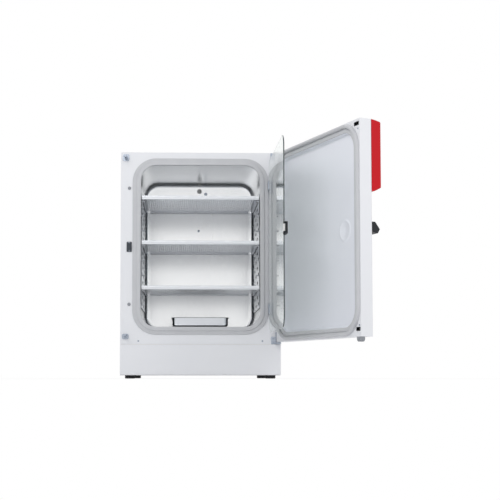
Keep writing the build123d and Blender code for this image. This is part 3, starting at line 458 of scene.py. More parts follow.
# %% Hand out the finishes and round the edges
by_slot = {
    "white_paint": white_paint,
    "black_rubber": black_rubber,
    "stainless": bracket_steel,
    "support_foam": support_foam,
    "foam": foam,
    "heater_mat": heater_mat,
    "grey_rubber": grey_rubber,
    "white_plastic": white_plastic,
    "aluminium": aluminium,
    "circuit_board": circuit_board,
    "brass": brass,
    "silicone": silicone,
    "black_plastic": black_plastic,
    "grey_plastic": grey_plastic,
    "red_plastic": red_plastic,
    "display_pane": display_pane,
    "key_plastic": key_plastic,
    "clear_glass": clear_glass,
}
slot_of = {part["node"]: part["material_slot"] for part in frame["record"]["subparts"]}
own_finish = {"rack_left": rack_steel, "rack_right": rack_steel, "glass_keeper": dark_steel_and_painted_shade}
edge_round = {
    "handle_lever": 0.002,
    "control_housing": 0.0012,
    "glass_catch": 0.0012,
    "door_guide_shoe": 0.001,
    "power_supply": 0.001,
    "rack_left": 0.0003,
    "rack_right": 0.0003,
    "housing_shell": 0.0005,
}
for name, node in nodes.items():
    finish = own_finish.get(name, by_slot[slot_of[name]])
    node.data.materials.clear()
    node.data.materials.append(finish)
    weld = node.modifiers.new("weld", "WELD")
    weld.merge_threshold = 0.00001
    rounding = node.modifiers.new("rounding", "BEVEL")
    rounding.width = edge_round.get(name, 0.0004)
    rounding.segments = 2
    rounding.limit_method = "ANGLE"
    rounding.angle_limit = math.radians(40)
print("finished", len(nodes), "CAD nodes")

# %% [markdown]
# ## A ring carried between two outlines
#
# Gaskets, the chamber, the door's liner and the rims are all one idea: a cross-section carried
# round a rectangle with rounded corners. Spinning or sweeping a curve would do it, but a grid is
# simpler. One parameter runs round the outline, the other along the cross-section. Each point of
# the cross-section says how far it lies from the inner outline to the outer one, and how deep.


# %% Outlines and sections
def outline(width, low, high, corner, middle=0.0, arc_steps=14):
    """Points of a rounded rectangle: four quarter circles, joined by straight sides, anticlockwise."""
    quarter = np.linspace(0, np.pi / 2, arc_steps)
    angles = np.concatenate([quarter + turn * np.pi / 2 for turn in range(4)])
    side = np.repeat([1, -1, -1, 1], arc_steps)
    rise = np.repeat([1, 1, -1, -1], arc_steps)
    centre_x = middle + side * (width / 2 - corner)
    centre_z = (low + high) / 2 + rise * ((high - low) / 2 - corner)
    return np.stack([centre_x + corner * np.cos(angles), centre_z + corner * np.sin(angles)], axis=1)


def grown(width, low, high, corner, margin, middle=0.0, arc_steps=14):
    """The same outline moved outwards by a margin."""
    return outline(width + 2 * margin, low - margin, high + margin, corner + margin, middle, arc_steps)


def carried(inner, outer, section):
    """Grid of points: a section point (t, y) gives inner + t * (outer - inner), at depth y."""
    share = np.array([point[0] for point in section])[None, :, None]
    depth = np.array([point[1] for point in section])
    flat = inner[:, None, :] + share * (outer - inner)[:, None, :]
    depths = np.broadcast_to(depth, flat.shape[:2])
    return np.stack([flat[..., 0], depths, flat[..., 1]], axis=-1)


def arc(centre, radius, start, stop, steps=6):
    """Points on an arc of a section, from one angle to another, in degrees."""
    angles = np.radians(np.linspace(start, stop, steps))
    return [(centre[0] + radius[0] * math.cos(a), centre[1] + radius[1] * math.sin(a)) for a in angles]


print("outline of the mouth has", len(outline(mouth_width, mouth_low, mouth_high, mouth_corner)), "points")


# %% Faces between the points
def grid_faces(rows, columns, close_rows, close_columns, base=0):
    """Four-cornered faces between neighbouring points of a grid, optionally closed on itself."""
    last_row = rows if close_rows else rows - 1
    last_column = columns if close_columns else columns - 1
    row, column = np.meshgrid(np.arange(last_row), np.arange(last_column), indexing="ij")
    next_row, next_column = (row + 1) % rows, (column + 1) % columns
    corners = [row * columns + column, next_row * columns + column,
               next_row * columns + next_column, row * columns + next_column]
    return base + np.stack(corners, axis=-1).reshape(-1, 4)


def dished_faces(rings, section_length, last_inside):
    """Faces of a dish: the carried ring, and one face on each side that closes its middle."""
    faces = grid_faces(rings, section_length, True, True).tolist()
    gap = {last_inside, last_inside + 1}
    faces = [face for face in faces if {face[0] % section_length, face[3] % section_length} != gap]
    inner_cap = [row * section_length + last_inside for row in range(rings)]
    outer_cap = [row * section_length + last_inside + 1 for row in range(rings)]
    return faces + [inner_cap, outer_cap[::-1]]


print("a grid of 4 by 3 points, closed both ways, has", len(grid_faces(4, 3, True, True)), "faces")


# %% Pieces that ride and swing
def make_piece(name, points, faces, body, finish, smooth=True):
    """A mesh object from points and faces, riding on a body. Creases above 40 degrees stay sharp."""
    mesh = bpy.data.meshes.new(name)
    points = np.asarray(points).reshape(-1, 3).tolist()
    mesh.from_pydata(points, [], [list(map(int, face)) for face in faces])
    mesh.polygons.foreach_set("use_smooth", np.full(len(mesh.polygons), smooth))
    mesh.update()
    piece = bpy.data.objects.new(name, mesh)
    scene.collection.objects.link(piece)
    piece.data.materials.append(finish)
    if smooth:
        mesh.set_sharp_from_angle(angle=math.radians(40))
    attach(piece, body)
    return piece


def swung(points, pin, angle):
    """Points turned about an upright pin: x' = c x - s y and y' = s x + c y, measured from the pin."""
    cosine, sine = math.cos(angle), math.sin(angle)
    away = points - pin
    turned = away.copy()
    turned[..., 0] = cosine * away[..., 0] - sine * away[..., 1]
    turned[..., 1] = sine * away[..., 0] + cosine * away[..., 1]
    return turned + pin


free_edge = swung(np.array([-0.37, door_pin[1], 0.6]), door_pin, door_angle)
print("the door's free edge swings to", np.round(free_edge, 3))

# %% [markdown]
# ## Chamber
#
# The real chamber is one deep-drawn tank: its side walls turn into the rear wall over a soft
# cove, and a narrow flange lies on the front frame. The CAD has the same form in flat facets. A
# mirror-like wall shows every facet, so the tank is made again as one fine ring surface. The
# section runs from the flange, down the wall, through the cove and onto the rear wall, and then
# back along the outside, 1.5 mm away.

# %% Deep-drawn chamber
chamber_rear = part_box("chamber")[1][1]
sheet = 0.0015
cove = 0.02
flange = 0.024
reach = 0.05
inside_rear = chamber_rear - sheet


def chamber_section():
    """Section from the flange's rim over the mouth, wall and cove to the rear wall, and back outside."""
    front = face_y - sheet
    inside = [(flange, face_y), (flange, front + 0.0004), (flange - 0.0006, front), (0.004, front)]
    inside += arc((0.003, front + 0.003), (0.003, 0.003), -90, -180)
    inside += [(0, y) for y in np.linspace(face_y + 0.01, inside_rear - cove, 24)]
    inside += arc((-cove, inside_rear - cove), (cove, cove), 0, 90, 10)
    inside += [(-cove - 0.012, inside_rear), (-reach, inside_rear)]
    outside = [(-reach, chamber_rear), (-cove, chamber_rear)]
    outside += arc((-cove, inside_rear - cove), (cove + sheet, cove + sheet), 90, 0, 8)[1:]
    outside += [(sheet, face_y + 0.004), (sheet, face_y)]
    return inside, outside


inside, outside = chamber_section()
mouth = outline(mouth_width, mouth_low, mouth_high, mouth_corner)
mouth_out = grown(mouth_width, mouth_low, mouth_high, mouth_corner, 1.0)
section = inside + outside
tank_points = carried(mouth, mouth_out, section)
tank_faces = dished_faces(len(mouth), len(section), len(inside) - 1)
chamber = make_piece("chamber_tank", tank_points, tank_faces, "cabinet", chamber_steel)
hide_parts("chamber")
print("chamber faces:", len(chamber.data.polygons))

# %% [markdown]
# ## Gasket round the mouth
#
# A silicone ring is pressed over the chamber's flange, and the glass door closes on its raised
# inner lip. It is one moulding: lip, groove and a wide flat face. Carried between the mouth's
# outline and the ring's outer one, the section keeps its shape round the wide corners. Its points
# are given as a share of the way from the mouth, 0, to the ring's outer edge, 1.

# %% Frame gasket
gasket_low, gasket_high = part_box("frame_gasket")
ring_corner, lip_rise, lip_bend, lip_bend_share = 0.11, 0.0035, 0.002, 0.06
ring = outline(gasket_high[0] - gasket_low[0], gasket_low[2], gasket_high[2], ring_corner)
lip_front = gasket_low[1]
lip_turn, band_front = lip_front + lip_bend, lip_front + lip_rise
gasket_section = [(0, face_y - sheet), (0, lip_turn)]
gasket_section += arc((lip_bend_share, lip_turn), (lip_bend_share, lip_bend), 180, 270, 5)
gasket_section += arc((0.46, lip_turn), (lip_bend_share, lip_bend), 270, 360, 5)
gasket_section += [(0.52, band_front + 0.0006), (0.56, band_front + 0.0006), (0.575, band_front)]
gasket_section += [(0.86, band_front), (0.875, band_front + 0.0005), (0.89, band_front)]
gasket_section += arc((0.95, band_front + 0.0015), (0.05, 0.0015), 270, 360, 5)
gasket_section += [(1, face_y), (0.64, face_y), (0.64, face_y - sheet)]
ring_faces = grid_faces(len(mouth), len(gasket_section), True, True)[:, ::-1]
ring_points = carried(mouth, ring, gasket_section)
frame_gasket = make_piece("mouth_gasket", ring_points, ring_faces, "cabinet", grey_rubber)
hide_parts("frame_gasket")
print("mouth gasket faces:", len(ring_faces))

# %% [markdown]
# ## Inside of the outer door
#
# The door's inner side has a dished stainless liner, and round it a two-lobed gasket: a low lip
# that covers the liner's flange, a groove, and a fat hollow lobe that seals on the frame. Both
# are carried round the door's own outline, so their corners stay concentric with it, and are
# then swung open about the hinge pin.

# %% Door outline and gasket
door_width, door_low, door_high, door_corner = 0.740, 0.168, 1.044, 0.120
door_inner = face_y - 0.0155
door_edge = outline(door_width, door_low, door_high, door_corner, arc_steps=18)
door_edge_out = grown(door_width, door_low, door_high, door_corner, 1.0, arc_steps=18)


def inward(points):
    """A section given as distance in from the door's edge, turned into the grid's outward share."""
    return [(-distance, depth) for distance, depth in points]


lobe_edge, lobe_half, lobe_height, lobe_bend = 0.005, 0.008, 0.0147, 0.006
lobe_turn = door_inner + lobe_height - lobe_bend
groove, low_lip, lip_foot = door_inner + 0.002, door_inner + 0.003, door_inner + 0.0013
seal_section = [(lobe_edge, door_inner), (lobe_edge, lobe_turn)]
seal_section += arc((lobe_edge + lobe_half, lobe_turn), (lobe_half, lobe_bend), 180, 0, 13)
seal_section += [(lobe_edge + 2 * lobe_half, groove), (0.024, groove)]
seal_section += arc((0.027, low_lip), (0.003, 0.002), 180, 90, 4)
seal_section += arc((0.0375, low_lip), (0.0025, 0.002), 90, 0, 4)
seal_section += [(0.04, lip_foot), (0.0315, lip_foot), (0.0315, door_inner)]
lobe_points = swung(carried(door_edge, door_edge_out, inward(seal_section)), door_pin, door_angle)
lobe_faces = grid_faces(len(door_edge), len(seal_section), True, True)[:, ::-1]
door_gasket = make_piece("door_seal", lobe_points, lobe_faces, "outer_door", grey_rubber)
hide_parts("door_gasket")
print("door seal faces:", len(lobe_faces))

# %% Dished door liner
liner_sheet, liner_depth = 0.0012, 0.016
liner_bend, liner_shoulder = 0.011, 0.0018
flange_from_edge, wall_from_edge, middle_from_edge = 0.032, 0.0414, 0.09
liner_front = door_inner + liner_sheet
liner_floor = door_inner - liner_depth
floor_face = liner_floor + liner_sheet
bend_x, bend_y = wall_from_edge + liner_bend, floor_face + liner_bend
outer_bend = liner_bend + liner_sheet
shoulder_x = wall_from_edge - liner_shoulder
liner_inside = [(flange_from_edge, door_inner), (flange_from_edge, liner_front), (shoulder_x, liner_front)]
shoulder_y = liner_front - liner_shoulder
liner_inside += arc((shoulder_x, shoulder_y), (liner_shoulder, liner_shoulder), 90, 0, 5)[1:]
liner_inside += [(wall_from_edge, door_inner - 0.002)]
liner_inside += arc((bend_x, bend_y), (liner_bend, liner_bend), 180, 270, 9)
liner_inside += [(0.06, floor_face), (middle_from_edge, floor_face)]
liner_outside = [(middle_from_edge, liner_floor), (bend_x, liner_floor)]
liner_outside += arc((bend_x, bend_y), (outer_bend, outer_bend), 270, 180, 7)[1:]
liner_outside += [(wall_from_edge - liner_sheet, door_inner)]
liner_section = liner_inside + liner_outside
liner_points = carried(door_edge, door_edge_out, inward(liner_section))
print("liner floor at y", round(floor_face, 4), "with the door shut")

# %% [markdown]
# ### The round pressing in the liner
#
# Near its free edge the liner has a round pressing: a low raised ring, and a small hollow in its
# middle. It could be a separate disc laid on the sheet, but then its edge would be a hard line.
# Instead the flat middle of the liner is filled by rings of points. The first ring is the dish's
# own outline, the others are circles that shrink towards the middle of the pressing, each
# a little higher or lower, and one small face closes the last circle.

# %% Round pressing
pressing_x, pressing_z = -0.225, 0.608
pressing = [(0.05, 0), (0.046, 0), (0.043, -0.0018), (0.039, -0.002), (0.035, -0.0002), (0.028, 0.0008)]
pressing += [(0.019, 0.0012), (0.016, 0.0026), (0.012, 0.003), (0.008, 0.0034)]


def with_pressing(points, faces, last_inside):
    """A dish whose two middle faces become rings of radius r and depth d, as the pressing lists them."""
    rings, section_length = points.shape[:2]
    turn = (np.arange(rings) + 0.5) * 2 * np.pi / rings
    points, faces = points.reshape(-1, 3), faces[:-2]
    for column, floor, flip in ((last_inside, floor_face, False), (last_inside + 1, liner_floor, True)):
        before = np.arange(rings) * section_length + column
        for radius, depth in pressing:
            circle_x = pressing_x + radius * np.cos(turn)
            circle_z = pressing_z + radius * np.sin(turn)
            circle = np.column_stack([circle_x, np.full(rings, floor - depth), circle_z])
            after = len(points) + np.arange(rings)
            band = np.stack([before, np.roll(before, -1), np.roll(after, -1), after], axis=1)
            faces += (band[:, ::-1] if flip else band).tolist()
            points = np.concatenate([points, circle])
            before = after
        faces.append(before.tolist()[::-1] if flip else before.tolist())
    return points, faces


last_inside = len(liner_inside) - 1
liner_faces = dished_faces(len(door_edge), len(liner_section), last_inside)
liner_points, liner_faces = with_pressing(liner_points, liner_faces, last_inside)
liner_faces = [face[::-1] for face in liner_faces]
liner_points = swung(liner_points, door_pin, door_angle)
liner = make_piece("dished_liner", liner_points, liner_faces, "outer_door", liner_steel)
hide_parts("door_liner")
print("liner faces:", len(liner_faces))

# %% [markdown]
# ## Glass door
#
# One pane of 5 mm glass with ground and polished edges and wide rounded corners. It is a slab
# whose section rounds over by less than a millimetre at both faces. The rim's faces take the dark
# finish, because that is how a thick pane looks along its edge. Only the rim is shaded smooth. If
# the two large faces were smooth as well, the rim's slope would bend what one sees through them.

# %% Glass pane
pane_width, pane_low, pane_high, pane_corner, pane_middle = 0.590, 0.209, 1.002, 0.055, 0.009
pane_thickness, pane_round, seal_gap = 0.005, 0.0008, 0.0008
pane_back = lip_front - seal_gap
pane_front = pane_back - pane_thickness
pane_edge = outline(pane_width, pane_low, pane_high, pane_corner, pane_middle)
pane_edge_out = grown(pane_width, pane_low, pane_high, pane_corner, 1.0, pane_middle)
pane_section = [(-pane_round, pane_front), (-0.0002, pane_front + 0.0003), (0, pane_front + pane_round)]
pane_section += [(0, pane_back - pane_round), (-0.0002, pane_back - 0.0003), (-pane_round, pane_back)]
pane_points = carried(pane_edge, pane_edge_out, pane_section)
pane_rings, pane_columns = len(pane_edge), len(pane_section)
pane_faces = grid_faces(pane_rings, pane_columns, True, False)[:, ::-1].tolist()
rim_count = len(pane_faces)
pane_faces.append([row * pane_columns for row in range(pane_rings)])
pane_faces.append([row * pane_columns + pane_columns - 1 for row in range(pane_rings)][::-1])
pane_points = swung(pane_points, glass_pin, glass_angle)
pane = make_piece("glass_door_pane", pane_points, pane_faces, "glass_door", clear_glass)
pane.data.materials.append(glass_rim)
on_rim = np.arange(len(pane.data.polygons)) < rim_count
pane.data.polygons.foreach_set("material_index", on_rim.astype(np.int32))
pane.data.polygons.foreach_set("use_smooth", on_rim)
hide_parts("glass_pane")
print("pane faces:", len(pane_faces), "of them rim:", rim_count)

# %% [markdown]
# ## Perforated shelves
#
# Each shelf is a perforated stainless sheet with its front edge folded into a lip and its sides
# folded down. The holes are what one sees from below, so they are real holes. Drilling them with
# a boolean would take minutes. Instead one small cell, a square with an eight-sided hole and its
# wall, is written once and repeated on a grid as whole arrays. An upright wall round this field
# closes the sheet's edge, and plain strips carry on to the folds and to the lip.


# %% One hole with its share of the sheet
hole_pitch, hole_radius = 0.01, 0.0036


def hole_cell(pitch, radius, top, bottom):
    """Points and faces of one cell: square rim and octagon hole, above and below."""
    angles = np.radians(np.arange(8) * 45.0)
    octagon = np.stack([np.cos(angles), np.sin(angles)], axis=1)
    square = octagon / np.abs(octagon).max(axis=1, keepdims=True) * pitch / 2
    flat = np.concatenate([square, octagon * radius])
    upper = np.column_stack([flat, np.full(16, top)])
    lower = np.column_stack([flat, np.full(16, bottom)])
    step = np.arange(8)
    after = (step + 1) % 8
    above = np.stack([step, after, after + 8, step + 8], axis=1)
    wall = np.stack([step + 8, after + 8, after + 24, step + 24], axis=1)
    below = np.stack([step + 16, step + 24, after + 24, after + 16], axis=1)
    return np.concatenate([upper, lower]), np.concatenate([above, wall, below])


print("faces of one cell:", len(hole_cell(hole_pitch, hole_radius, sheet, 0)[1]))


# %% Strips, bars and several meshes as one
def box_mesh(low, high):
    """Points and faces of a plain strip between two corners."""
    spans = [(low[axis], high[axis]) for axis in range(3)]
    corners = np.array([(x, y, z) for x in spans[0] for y in spans[1] for z in spans[2]])
    faces = [(0, 1, 3, 2), (4, 6, 7, 5), (0, 4, 5, 1), (2, 3, 7, 6), (0, 2, 6, 4), (1, 5, 7, 3)]
    return corners, np.array(faces)


def bar_along_x(section, low, high):
    """Points and faces of a closed section of (y, z) values, pushed along X, with both ends closed."""
    count = len(section)
    section = np.array(section)
    ends = [np.column_stack([np.full(count, x), section]) for x in (low, high)]
    points = np.concatenate(ends)
    sides = grid_faces(2, count, False, True).tolist()
    return points, sides + [list(range(count)), list(range(2 * count - 1, count - 1, -1))]


def joined(parts):
    """Several (points, faces) pairs as one."""
    points, faces, base = [], [], 0
    for part_points, part_faces in parts:
        points.append(part_points)
        faces += [[int(corner) + base for corner in face] for face in part_faces]
        base += len(part_points)
    return np.concatenate(points), faces


print("faces of a strip:", len(box_mesh((0, 0, 0), (1, 1, 1))[1]))


# %% Border of the drilled field
def field_wall(low, high, columns, rows, bottom, top):
    """Upright wall round the field of cells, with a point at every half pitch, as the cells have."""
    across = np.linspace(low[0], high[0], 2 * columns + 1)
    along = np.linspace(low[1], high[1], 2 * rows + 1)
    path = [(x, low[1]) for x in across[:-1]] + [(high[0], y) for y in along[:-1]]
    path += [(x, high[1]) for x in across[:0:-1]] + [(low[0], y) for y in along[:0:-1]]
    points = np.concatenate([np.column_stack([path, np.full(len(path), z)]) for z in (bottom, top)])
    return points, grid_faces(2, len(path), False, True)[:, ::-1]


shelf_side, shelf_flange, shelf_hem = 0.003, 0.006, 0.007
front_strip, least_side_strips, least_end_strips = 0.024, 0.03, 0.05
side_fold_start, side_fold_end = 0.004, 0.022
rear_fold_drop, rear_fold_inset = 0.008, 0.02
lip_round, hem_round, hem_back = 0.0025, 0.0015, 0.0008


def shelf_strips(low, high, field_low, field_high, bottom):
    """Plain strips round the field of cells, and the folded sides and rear, as low and high corners."""
    left, right, rear, top = low[0] + shelf_side, high[0] - shelf_side, high[1], high[2]
    start, fold_end = low[1] + side_fold_start, rear - side_fold_end
    drop = bottom - rear_fold_drop
    return [
        ((left, start, bottom), (right, field_low[1], top)),
        ((left, field_high[1], bottom), (right, rear, top)),
        ((left, field_low[1], bottom), (field_low[0], field_high[1], top)),
        ((field_high[0], field_low[1], bottom), (right, field_high[1], top)),
        ((left, start, low[2]), (left + sheet, fold_end, bottom)),
        ((right - sheet, start, low[2]), (right, fold_end, bottom)),
        ((left + rear_fold_inset, rear - sheet, drop), (right - rear_fold_inset, rear, bottom)),
    ]


print("plain strips of a shelf are", round(front_strip * 1000), "mm wide in front")


# %% Three shelves
def perforated_shelf(name, node, body):
    """A shelf in its CAD node's box: cells, border strips, folded sides, and a rounded front lip."""
    low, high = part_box(node)
    front, rear, top, bottom = low[1], high[1], high[2], high[2] - sheet
    columns = int((high[0] - low[0] - 2 * shelf_side - least_side_strips) / hole_pitch)
    rows = int((rear - front - least_end_strips) / hole_pitch)
    field_low = (-columns * hole_pitch / 2, front + front_strip)
    field_high = (-field_low[0], field_low[1] + rows * hole_pitch)
    cell_points, cell_faces = hole_cell(hole_pitch, hole_radius, top, bottom)
    across = field_low[0] + (np.arange(columns) + 0.5) * hole_pitch
    along = field_low[1] + (np.arange(rows) + 0.5) * hole_pitch
    shift = np.stack(np.meshgrid(across, along, indexing="ij"), axis=-1).reshape(-1, 1, 2)
    cells = np.repeat(cell_points[None], len(shift), axis=0)
    cells[:, :, :2] += shift
    offsets = np.arange(len(shift))[:, None, None] * len(cell_points)
    parts = [(cells.reshape(-1, 3), (cell_faces[None] + offsets).reshape(-1, 4))]
    parts.append(field_wall(field_low, field_high, columns, rows, bottom, top))
    parts += [box_mesh(*corners) for corners in shelf_strips(low, high, field_low, field_high, bottom)]

    hem, flange_y, hem_y = low[2] + shelf_hem, front + shelf_flange, front + hem_back
    fold = [(flange_y, hem), (hem_y, hem), (hem_y, low[2] + 0.001), (front + 0.0014, low[2])]
    fold.append((flange_y, low[2]))
    parts.append(bar_along_x(fold, low[0], high[0]))
    lip = arc((front + lip_round, top - lip_round), (lip_round, lip_round), 180, 90, 5)
    lip += [(flange_y, top), (flange_y, hem)]
    lip += arc((front + hem_round, hem + hem_round), (hem_round, hem_round), 270, 180, 4)
    parts.append(bar_along_x(lip, low[0], high[0]))
    points, faces = joined(parts)
    shelf = make_piece(name, points, faces, body, shelf_steel, smooth=False)
    # The rounded lip takes the lighter steel, a painted highlight; the hem under it keeps the shelf's own darker
    # steel.
    shelf.data.materials.append(lip_steel_painted_highlight)
    on_lip = np.arange(len(faces)) >= len(faces) - len(parts[-1][1])
    shelf.data.polygons.foreach_set("material_index", on_lip.astype(np.int32))
    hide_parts(node)
    return shelf


for level in ("upper", "middle", "lower"):
    shelf = perforated_shelf(f"perforated_shelf_{level}", f"shelf_{level}", f"shelf_{level}_body")
    print(shelf.name, "faces:", len(shelf.data.polygons))

# %% [markdown]
# ## Water pan
#
# The pan on the chamber's floor keeps the air humid. It is pressed from one thin sheet: a flat
# rim, steep walls, and a rounded bottom edge. It is the same kind of ring surface as the chamber,
# but lying down, so depth runs along Z.

# %% Water pan
pan_low, pan_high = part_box("water_pan")
pan_rim, pan_wall, pan_corner, pan_bend, pan_middle = 0.005, 0.001, 0.022, 0.01, 0.02
foot_height = 0.0062
pan_breadth = pan_high[0] - pan_low[0] - 2 * pan_rim
pan_front, pan_rear = pan_low[1] + pan_rim, pan_high[1] - pan_rim
pan_floor, pan_top = pan_low[2] + foot_height, pan_high[2]
pan_edge = outline(pan_breadth, pan_front, pan_rear, pan_corner)
pan_edge_out = grown(pan_breadth, pan_front, pan_rear, pan_corner, 1.0)
pan_turn = (-pan_bend, pan_floor + pan_bend)
pan_inside = [(pan_rim, pan_top - 0.0015), (pan_rim, pan_top - 0.0003), (pan_rim - 0.0004, pan_top)]
pan_inside += [(0.0006, pan_top), (-pan_wall, pan_top - 0.001)]
pan_inside += arc(pan_turn, (pan_bend - pan_wall, pan_bend - pan_wall), 0, -90, 7)
pan_inside += [(-pan_middle, pan_floor + pan_wall)]
pan_outside = [(-pan_middle, pan_floor), (-pan_bend, pan_floor)]
pan_outside += arc(pan_turn, (pan_bend, pan_bend), -90, 0, 7)[1:]
pan_outside += [(0, pan_top - 0.0015)]
pan_section = pan_inside + pan_outside
pan_points = carried(pan_edge, pan_edge_out, pan_section)[..., [0, 2, 1]]
pan_faces = dished_faces(len(pan_edge), len(pan_section), len(pan_inside) - 1)
tray_part = (pan_points.reshape(-1, 3), pan_faces)
print("faces of the tray:", len(pan_faces))


# %% A profile carried round an axis
def turned(profile, place, axis, steps=32):
    """Points and faces of a profile of (radius, height) values carried round an axis, both ends closed."""
    axis = np.array(axis, float) / np.linalg.norm(axis)
    helper = np.array([1.0, 0, 0]) if abs(axis[0]) < 0.9 else np.array([0, 1.0, 0])
    first = np.cross(axis, helper)
    first /= np.linalg.norm(first)
    second = np.cross(axis, first)
    angles = np.arange(steps) * 2 * np.pi / steps
    spokes = np.cos(angles)[:, None] * first + np.sin(angles)[:, None] * second
    radii = np.array([point[0] for point in profile])[None, :, None]
    heights = np.array([point[1] for point in profile])[None, :, None]
    points = np.array(place, float) + radii * spokes[:, None, :] + heights * axis
    count = len(profile)
    faces = grid_faces(steps, count, True, False).tolist()
    faces.append([row * count for row in range(steps)][::-1])
    faces.append([row * count + count - 1 for row in range(steps)])
    return points.reshape(-1, 3), faces


print("faces of a turned peg:", len(turned([(0.001, 0), (0.001, 0.01)], (0, 0, 0), (0, 0, 1))[1]))

# %% Feet of the pan, and painted shade on its turns
pan_foot, pan_foot_inset = [(0.0045, 0), (0.006, 0.0008), (0.006, 0.0064)], 0.04
pan_feet = [
    turned(pan_foot, (x, y, pan_low[2]), (0, 0, 1), 20)
    for x in (-pan_breadth / 2 + pan_foot_inset, pan_breadth / 2 - pan_foot_inset)
    for y in (pan_front + pan_foot_inset, pan_rear - pan_foot_inset)
]
points, faces = joined([tray_part] + pan_feet)
pan = make_piece("pressed_water_pan", points, faces, "pan", shelf_steel)
pan.data.materials.append(dark_steel_and_painted_shade)
middles = np.empty(len(faces) * 3)
pan.data.polygons.foreach_get("center", middles)
middles = middles.reshape(-1, 3)
# The faces near the pan's side walls, its bottom edge and its rim take the dark steel: painted shade along the
# turns of the sheet.
side_turn, bottom_turn, rim_turn = 0.009, 0.005, 0.002
painted_shade_on_turns = np.abs(middles[:, 0]) > pan_breadth / 2 - side_turn
painted_shade_on_turns |= (middles[:, 2] < pan_floor + bottom_turn) | (middles[:, 2] > pan_top - rim_turn)
pan.data.polygons.foreach_set("material_index", painted_shade_on_turns.astype(np.int32))
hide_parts("water_pan")
print("pan faces:", len(faces), "of them in the shaded finish:", int(painted_shade_on_turns.sum()))

# %% [markdown]
# ## Turned parts: feet, buffers, sensor, nozzle, probe and screws
#
# Everything round on the cabinet is a profile carried round an axis. The feet are rubber with a
# chamfered tread, the buffers are small domes on the frame, and the sensor, nozzle and probe
# stand out of the rear wall on round flanges. The plates of the latch, the catch and the hinges
# are held by screws with a shallow hollow in their heads. Each profile is a list of radius and
# height, measured from the spot where the part sits.


# %% Round parts on the cabinet
def round_part(name, spots, profile, axis, finish, node=None, steps=32):
    """One piece made of the same turned profile at several places on the cabinet."""
    points, faces = joined([turned(profile, spot, axis, steps) for spot in spots])
    piece = make_piece(name, points, faces, "cabinet", finish)
    if node:
        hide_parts(node)
    print(name, "at", len(spots), "places")


upwards, forwards = (0, 0, 1), (0, -1, 0)
foot_x, foot_y = 0.325, 0.29
foot_profile = [(0.019, 0), (0.0225, 0.001), (0.024, 0.003), (0.024, 0.009), (0.0232, 0.0096)]
foot_profile += [(0.0232, 0.0104), (0.024, 0.011), (0.024, 0.015)]
foot_spots = [(x, y, 0) for x in (-foot_x, foot_x) for y in (-foot_y, foot_y)]
round_part("rubber_feet", foot_spots, foot_profile, upwards, black_rubber, "feet", 48)

buffer_x, buffer_heights = -0.33, (0.342, 0.882)
buffer_profile = [(0.0075, 0), (0.0075, 0.002), (0.0068, 0.004), (0.005, 0.0054), (0.0025, 0.006)]
buffer_spots = [(buffer_x, face_y, z) for z in buffer_heights]
round_part(
    "frame_buffers", buffer_spots, buffer_profile, forwards, grey_plastic, "frame_bumpers"
)

# %% Sensor, nozzle and probe in the rear wall
sensor_spot = (0, inside_rear, 0.955)
sensor_profile = [(0.0075, -0.02), (0.0075, -0.001), (0.012, 0), (0.012, 0.0022), (0.0112, 0.003)]
sensor_profile += [(0.0095, 0.003), (0.0095, 0.0088), (0.0085, 0.0102), (0.0062, 0.011)]
round_part(
    "sensor_head", [sensor_spot], sensor_profile, forwards, white_plastic, "co2_sensor"
)

nozzle_spot = (0.032, inside_rear, 0.941)
nozzle_profile = [(0.0038, -0.02), (0.0038, -0.001), (0.008, 0), (0.008, 0.0025), (0.0055, 0.003)]
nozzle_profile += [(0.0055, 0.007), (0.0045, 0.008), (0.003, 0.008), (0.003, 0.004)]
round_part("nozzle", [nozzle_spot], nozzle_profile, forwards, bracket_steel, "gas_nozzle")

probe_spot = (-0.004, inside_rear, 0.751)
probe_profile = [(0.0028, -0.012), (0.0028, -0.001), (0.006, 0), (0.006, 0.0025), (0.0035, 0.003)]
probe_profile += [(0.0035, 0.011)] + arc((0, 0.0105), (0.0035, 0.0025), 10, 80, 4)
round_part("probe", [probe_spot], probe_profile, forwards, bracket_steel, "temperature_probe")

# %% Screws of the plates on the frame
plate_front = face_y - 0.003
screw_profile = [(0.0042, 0), (0.0042, 0.0006), (0.0036, 0.0016), (0.0022, 0.002), (0.0018, 0.002)]
screw_profile.append((0.0014, 0.001))
screw_rows = {
    "latch strikers": (-0.346, (1.0345, 0.1865)),
    "keeper of the catch": (-0.330, (0.590, 0.626)),
    "hinge brackets": (0.334, (0.166, 0.184, 1.022, 1.042)),
    "glass door's brackets": (0.336, (0.296, 0.344, 0.866, 0.914)),
}
screw_spots = [(x, plate_front, z) for x, heights in screw_rows.values() for z in heights]
round_part("plate_screws", screw_spots, screw_profile, forwards, bracket_steel, steps=20)

# %% [markdown]
# ## Figures on the display and marks on the keys
#
# A dark pane looks dead without figures, so the display shows two plain values, 37.0 for the
# warmth and 5.0 for the gas. Each figure lights some of the same seven bars. A bar is a flat slab
# with pointed ends that stands a fraction of a millimetre in front of the pane. The keys carry
# simple marks made the same way, and each mark rides on its own key.

# %% Seven-bar figures
lit_bars = {"0": "abcdef", "3": "abcdg", "5": "acdfg", "7": "abc"}
bar_ends = {
    "a": ((0, 1), (1, 1)), "b": ((1, 0.5), (1, 1)), "c": ((1, 0), (1, 0.5)), "d": ((0, 0), (1, 0)),
    "e": ((0, 0), (0, 0.5)), "f": ((0, 0.5), (0, 1)), "g": ((0, 0.5), (1, 0.5)),
}
window_face, mark_height, figures_low = -0.4425, 0.0002, 0.904


def flat_slab(corners, front, back):
    """A closed slab on an outline of (x, z) corners that runs anticlockwise, between two depths."""
    count = len(corners)
    points = [(x, y, z) for y in (front, back) for x, z in corners]
    faces = [list(range(count)), list(range(2 * count - 1, count - 1, -1))]
    faces += [[i, i + count, (i + 1) % count + count, (i + 1) % count] for i in range(count)]
    return np.array(points), faces


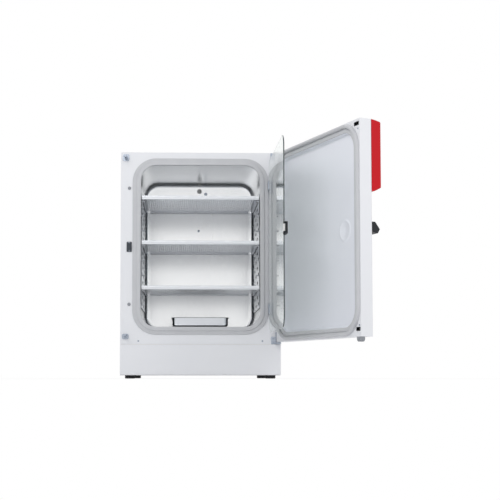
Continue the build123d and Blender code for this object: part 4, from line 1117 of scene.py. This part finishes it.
def bar(start, stop, half):
    """Outline of one bar from start to stop, half its breadth to each side, with pointed ends."""
    start, stop = np.array(start), np.array(stop)
    along = (stop - start) / np.linalg.norm(stop - start) * half
    across = np.array([-along[1], along[0]])
    below = [start, start + along - across, stop - along - across]
    return below + [stop, stop - along + across, start + along + across]


def figures(text, left, low, width, height, half):
    """Slabs of all lit bars of a number, from its lower left corner."""
    slabs = []
    for sign in text:
        if sign == ".":
            right = left + 2 * half
            outlines = [[(left, low - half), (right, low - half), (right, low + half), (left, low + half)]]
            left += 5 * half
        else:
            ends = [bar_ends[name] for name in lit_bars[sign]]
            places = [[(left + width * x, low + height * z) for x, z in pair] for pair in ends]
            outlines = [bar(*pair, half * 0.92) for pair in places]
            left += width + 4 * half
        slabs += [flat_slab(corners, window_face - mark_height, window_face) for corners in outlines]
    return slabs


warmth = figures("37.0", -0.082, figures_low, 0.018, 0.038, 0.0022)
gas_share = figures("5.0", 0.034, figures_low, 0.012, 0.024, 0.0016)
points, faces = joined(warmth + gas_share)
points = swung(points, door_pin, door_angle)
make_piece("display_figures", points, faces, "outer_door", digit_glow, False)
print("lit bars and points:", len(warmth) + len(gas_share))

# %% Marks on the keys
key_face, key_middle, key_spacing = -0.447, 0.826, 0.052
mark_half, mark_top, mark_bottom = 0.005, 0.0045, 0.0025
dot_radius, dash_half = 0.004, 0.0011
dot_angles = [math.radians(angle) for angle in range(0, 360, 20)]
marks = [
    [(-mark_half, -mark_bottom), (mark_half, -mark_bottom), (0, mark_top)],
    [(-mark_half, mark_bottom), (0, -mark_top), (mark_half, mark_bottom)],
    [(dot_radius * math.cos(angle), dot_radius * math.sin(angle)) for angle in dot_angles],
    [(-mark_half, -dash_half), (mark_half, -dash_half), (mark_half, dash_half), (-mark_half, dash_half)],
]
for number, mark in enumerate(marks):
    middle = (number - 1.5) * key_spacing
    corners = [(middle + x, key_middle + z) for x, z in mark]
    points, faces = flat_slab(corners, key_face - mark_height, key_face)
    points = swung(points, door_pin, door_angle)
    key_name = f"key_{number + 1}"
    mark_name = key_name + "_mark"
    make_piece(mark_name, points, faces, key_name + "_body", black_plastic, False)
print("key marks:", len(marks))
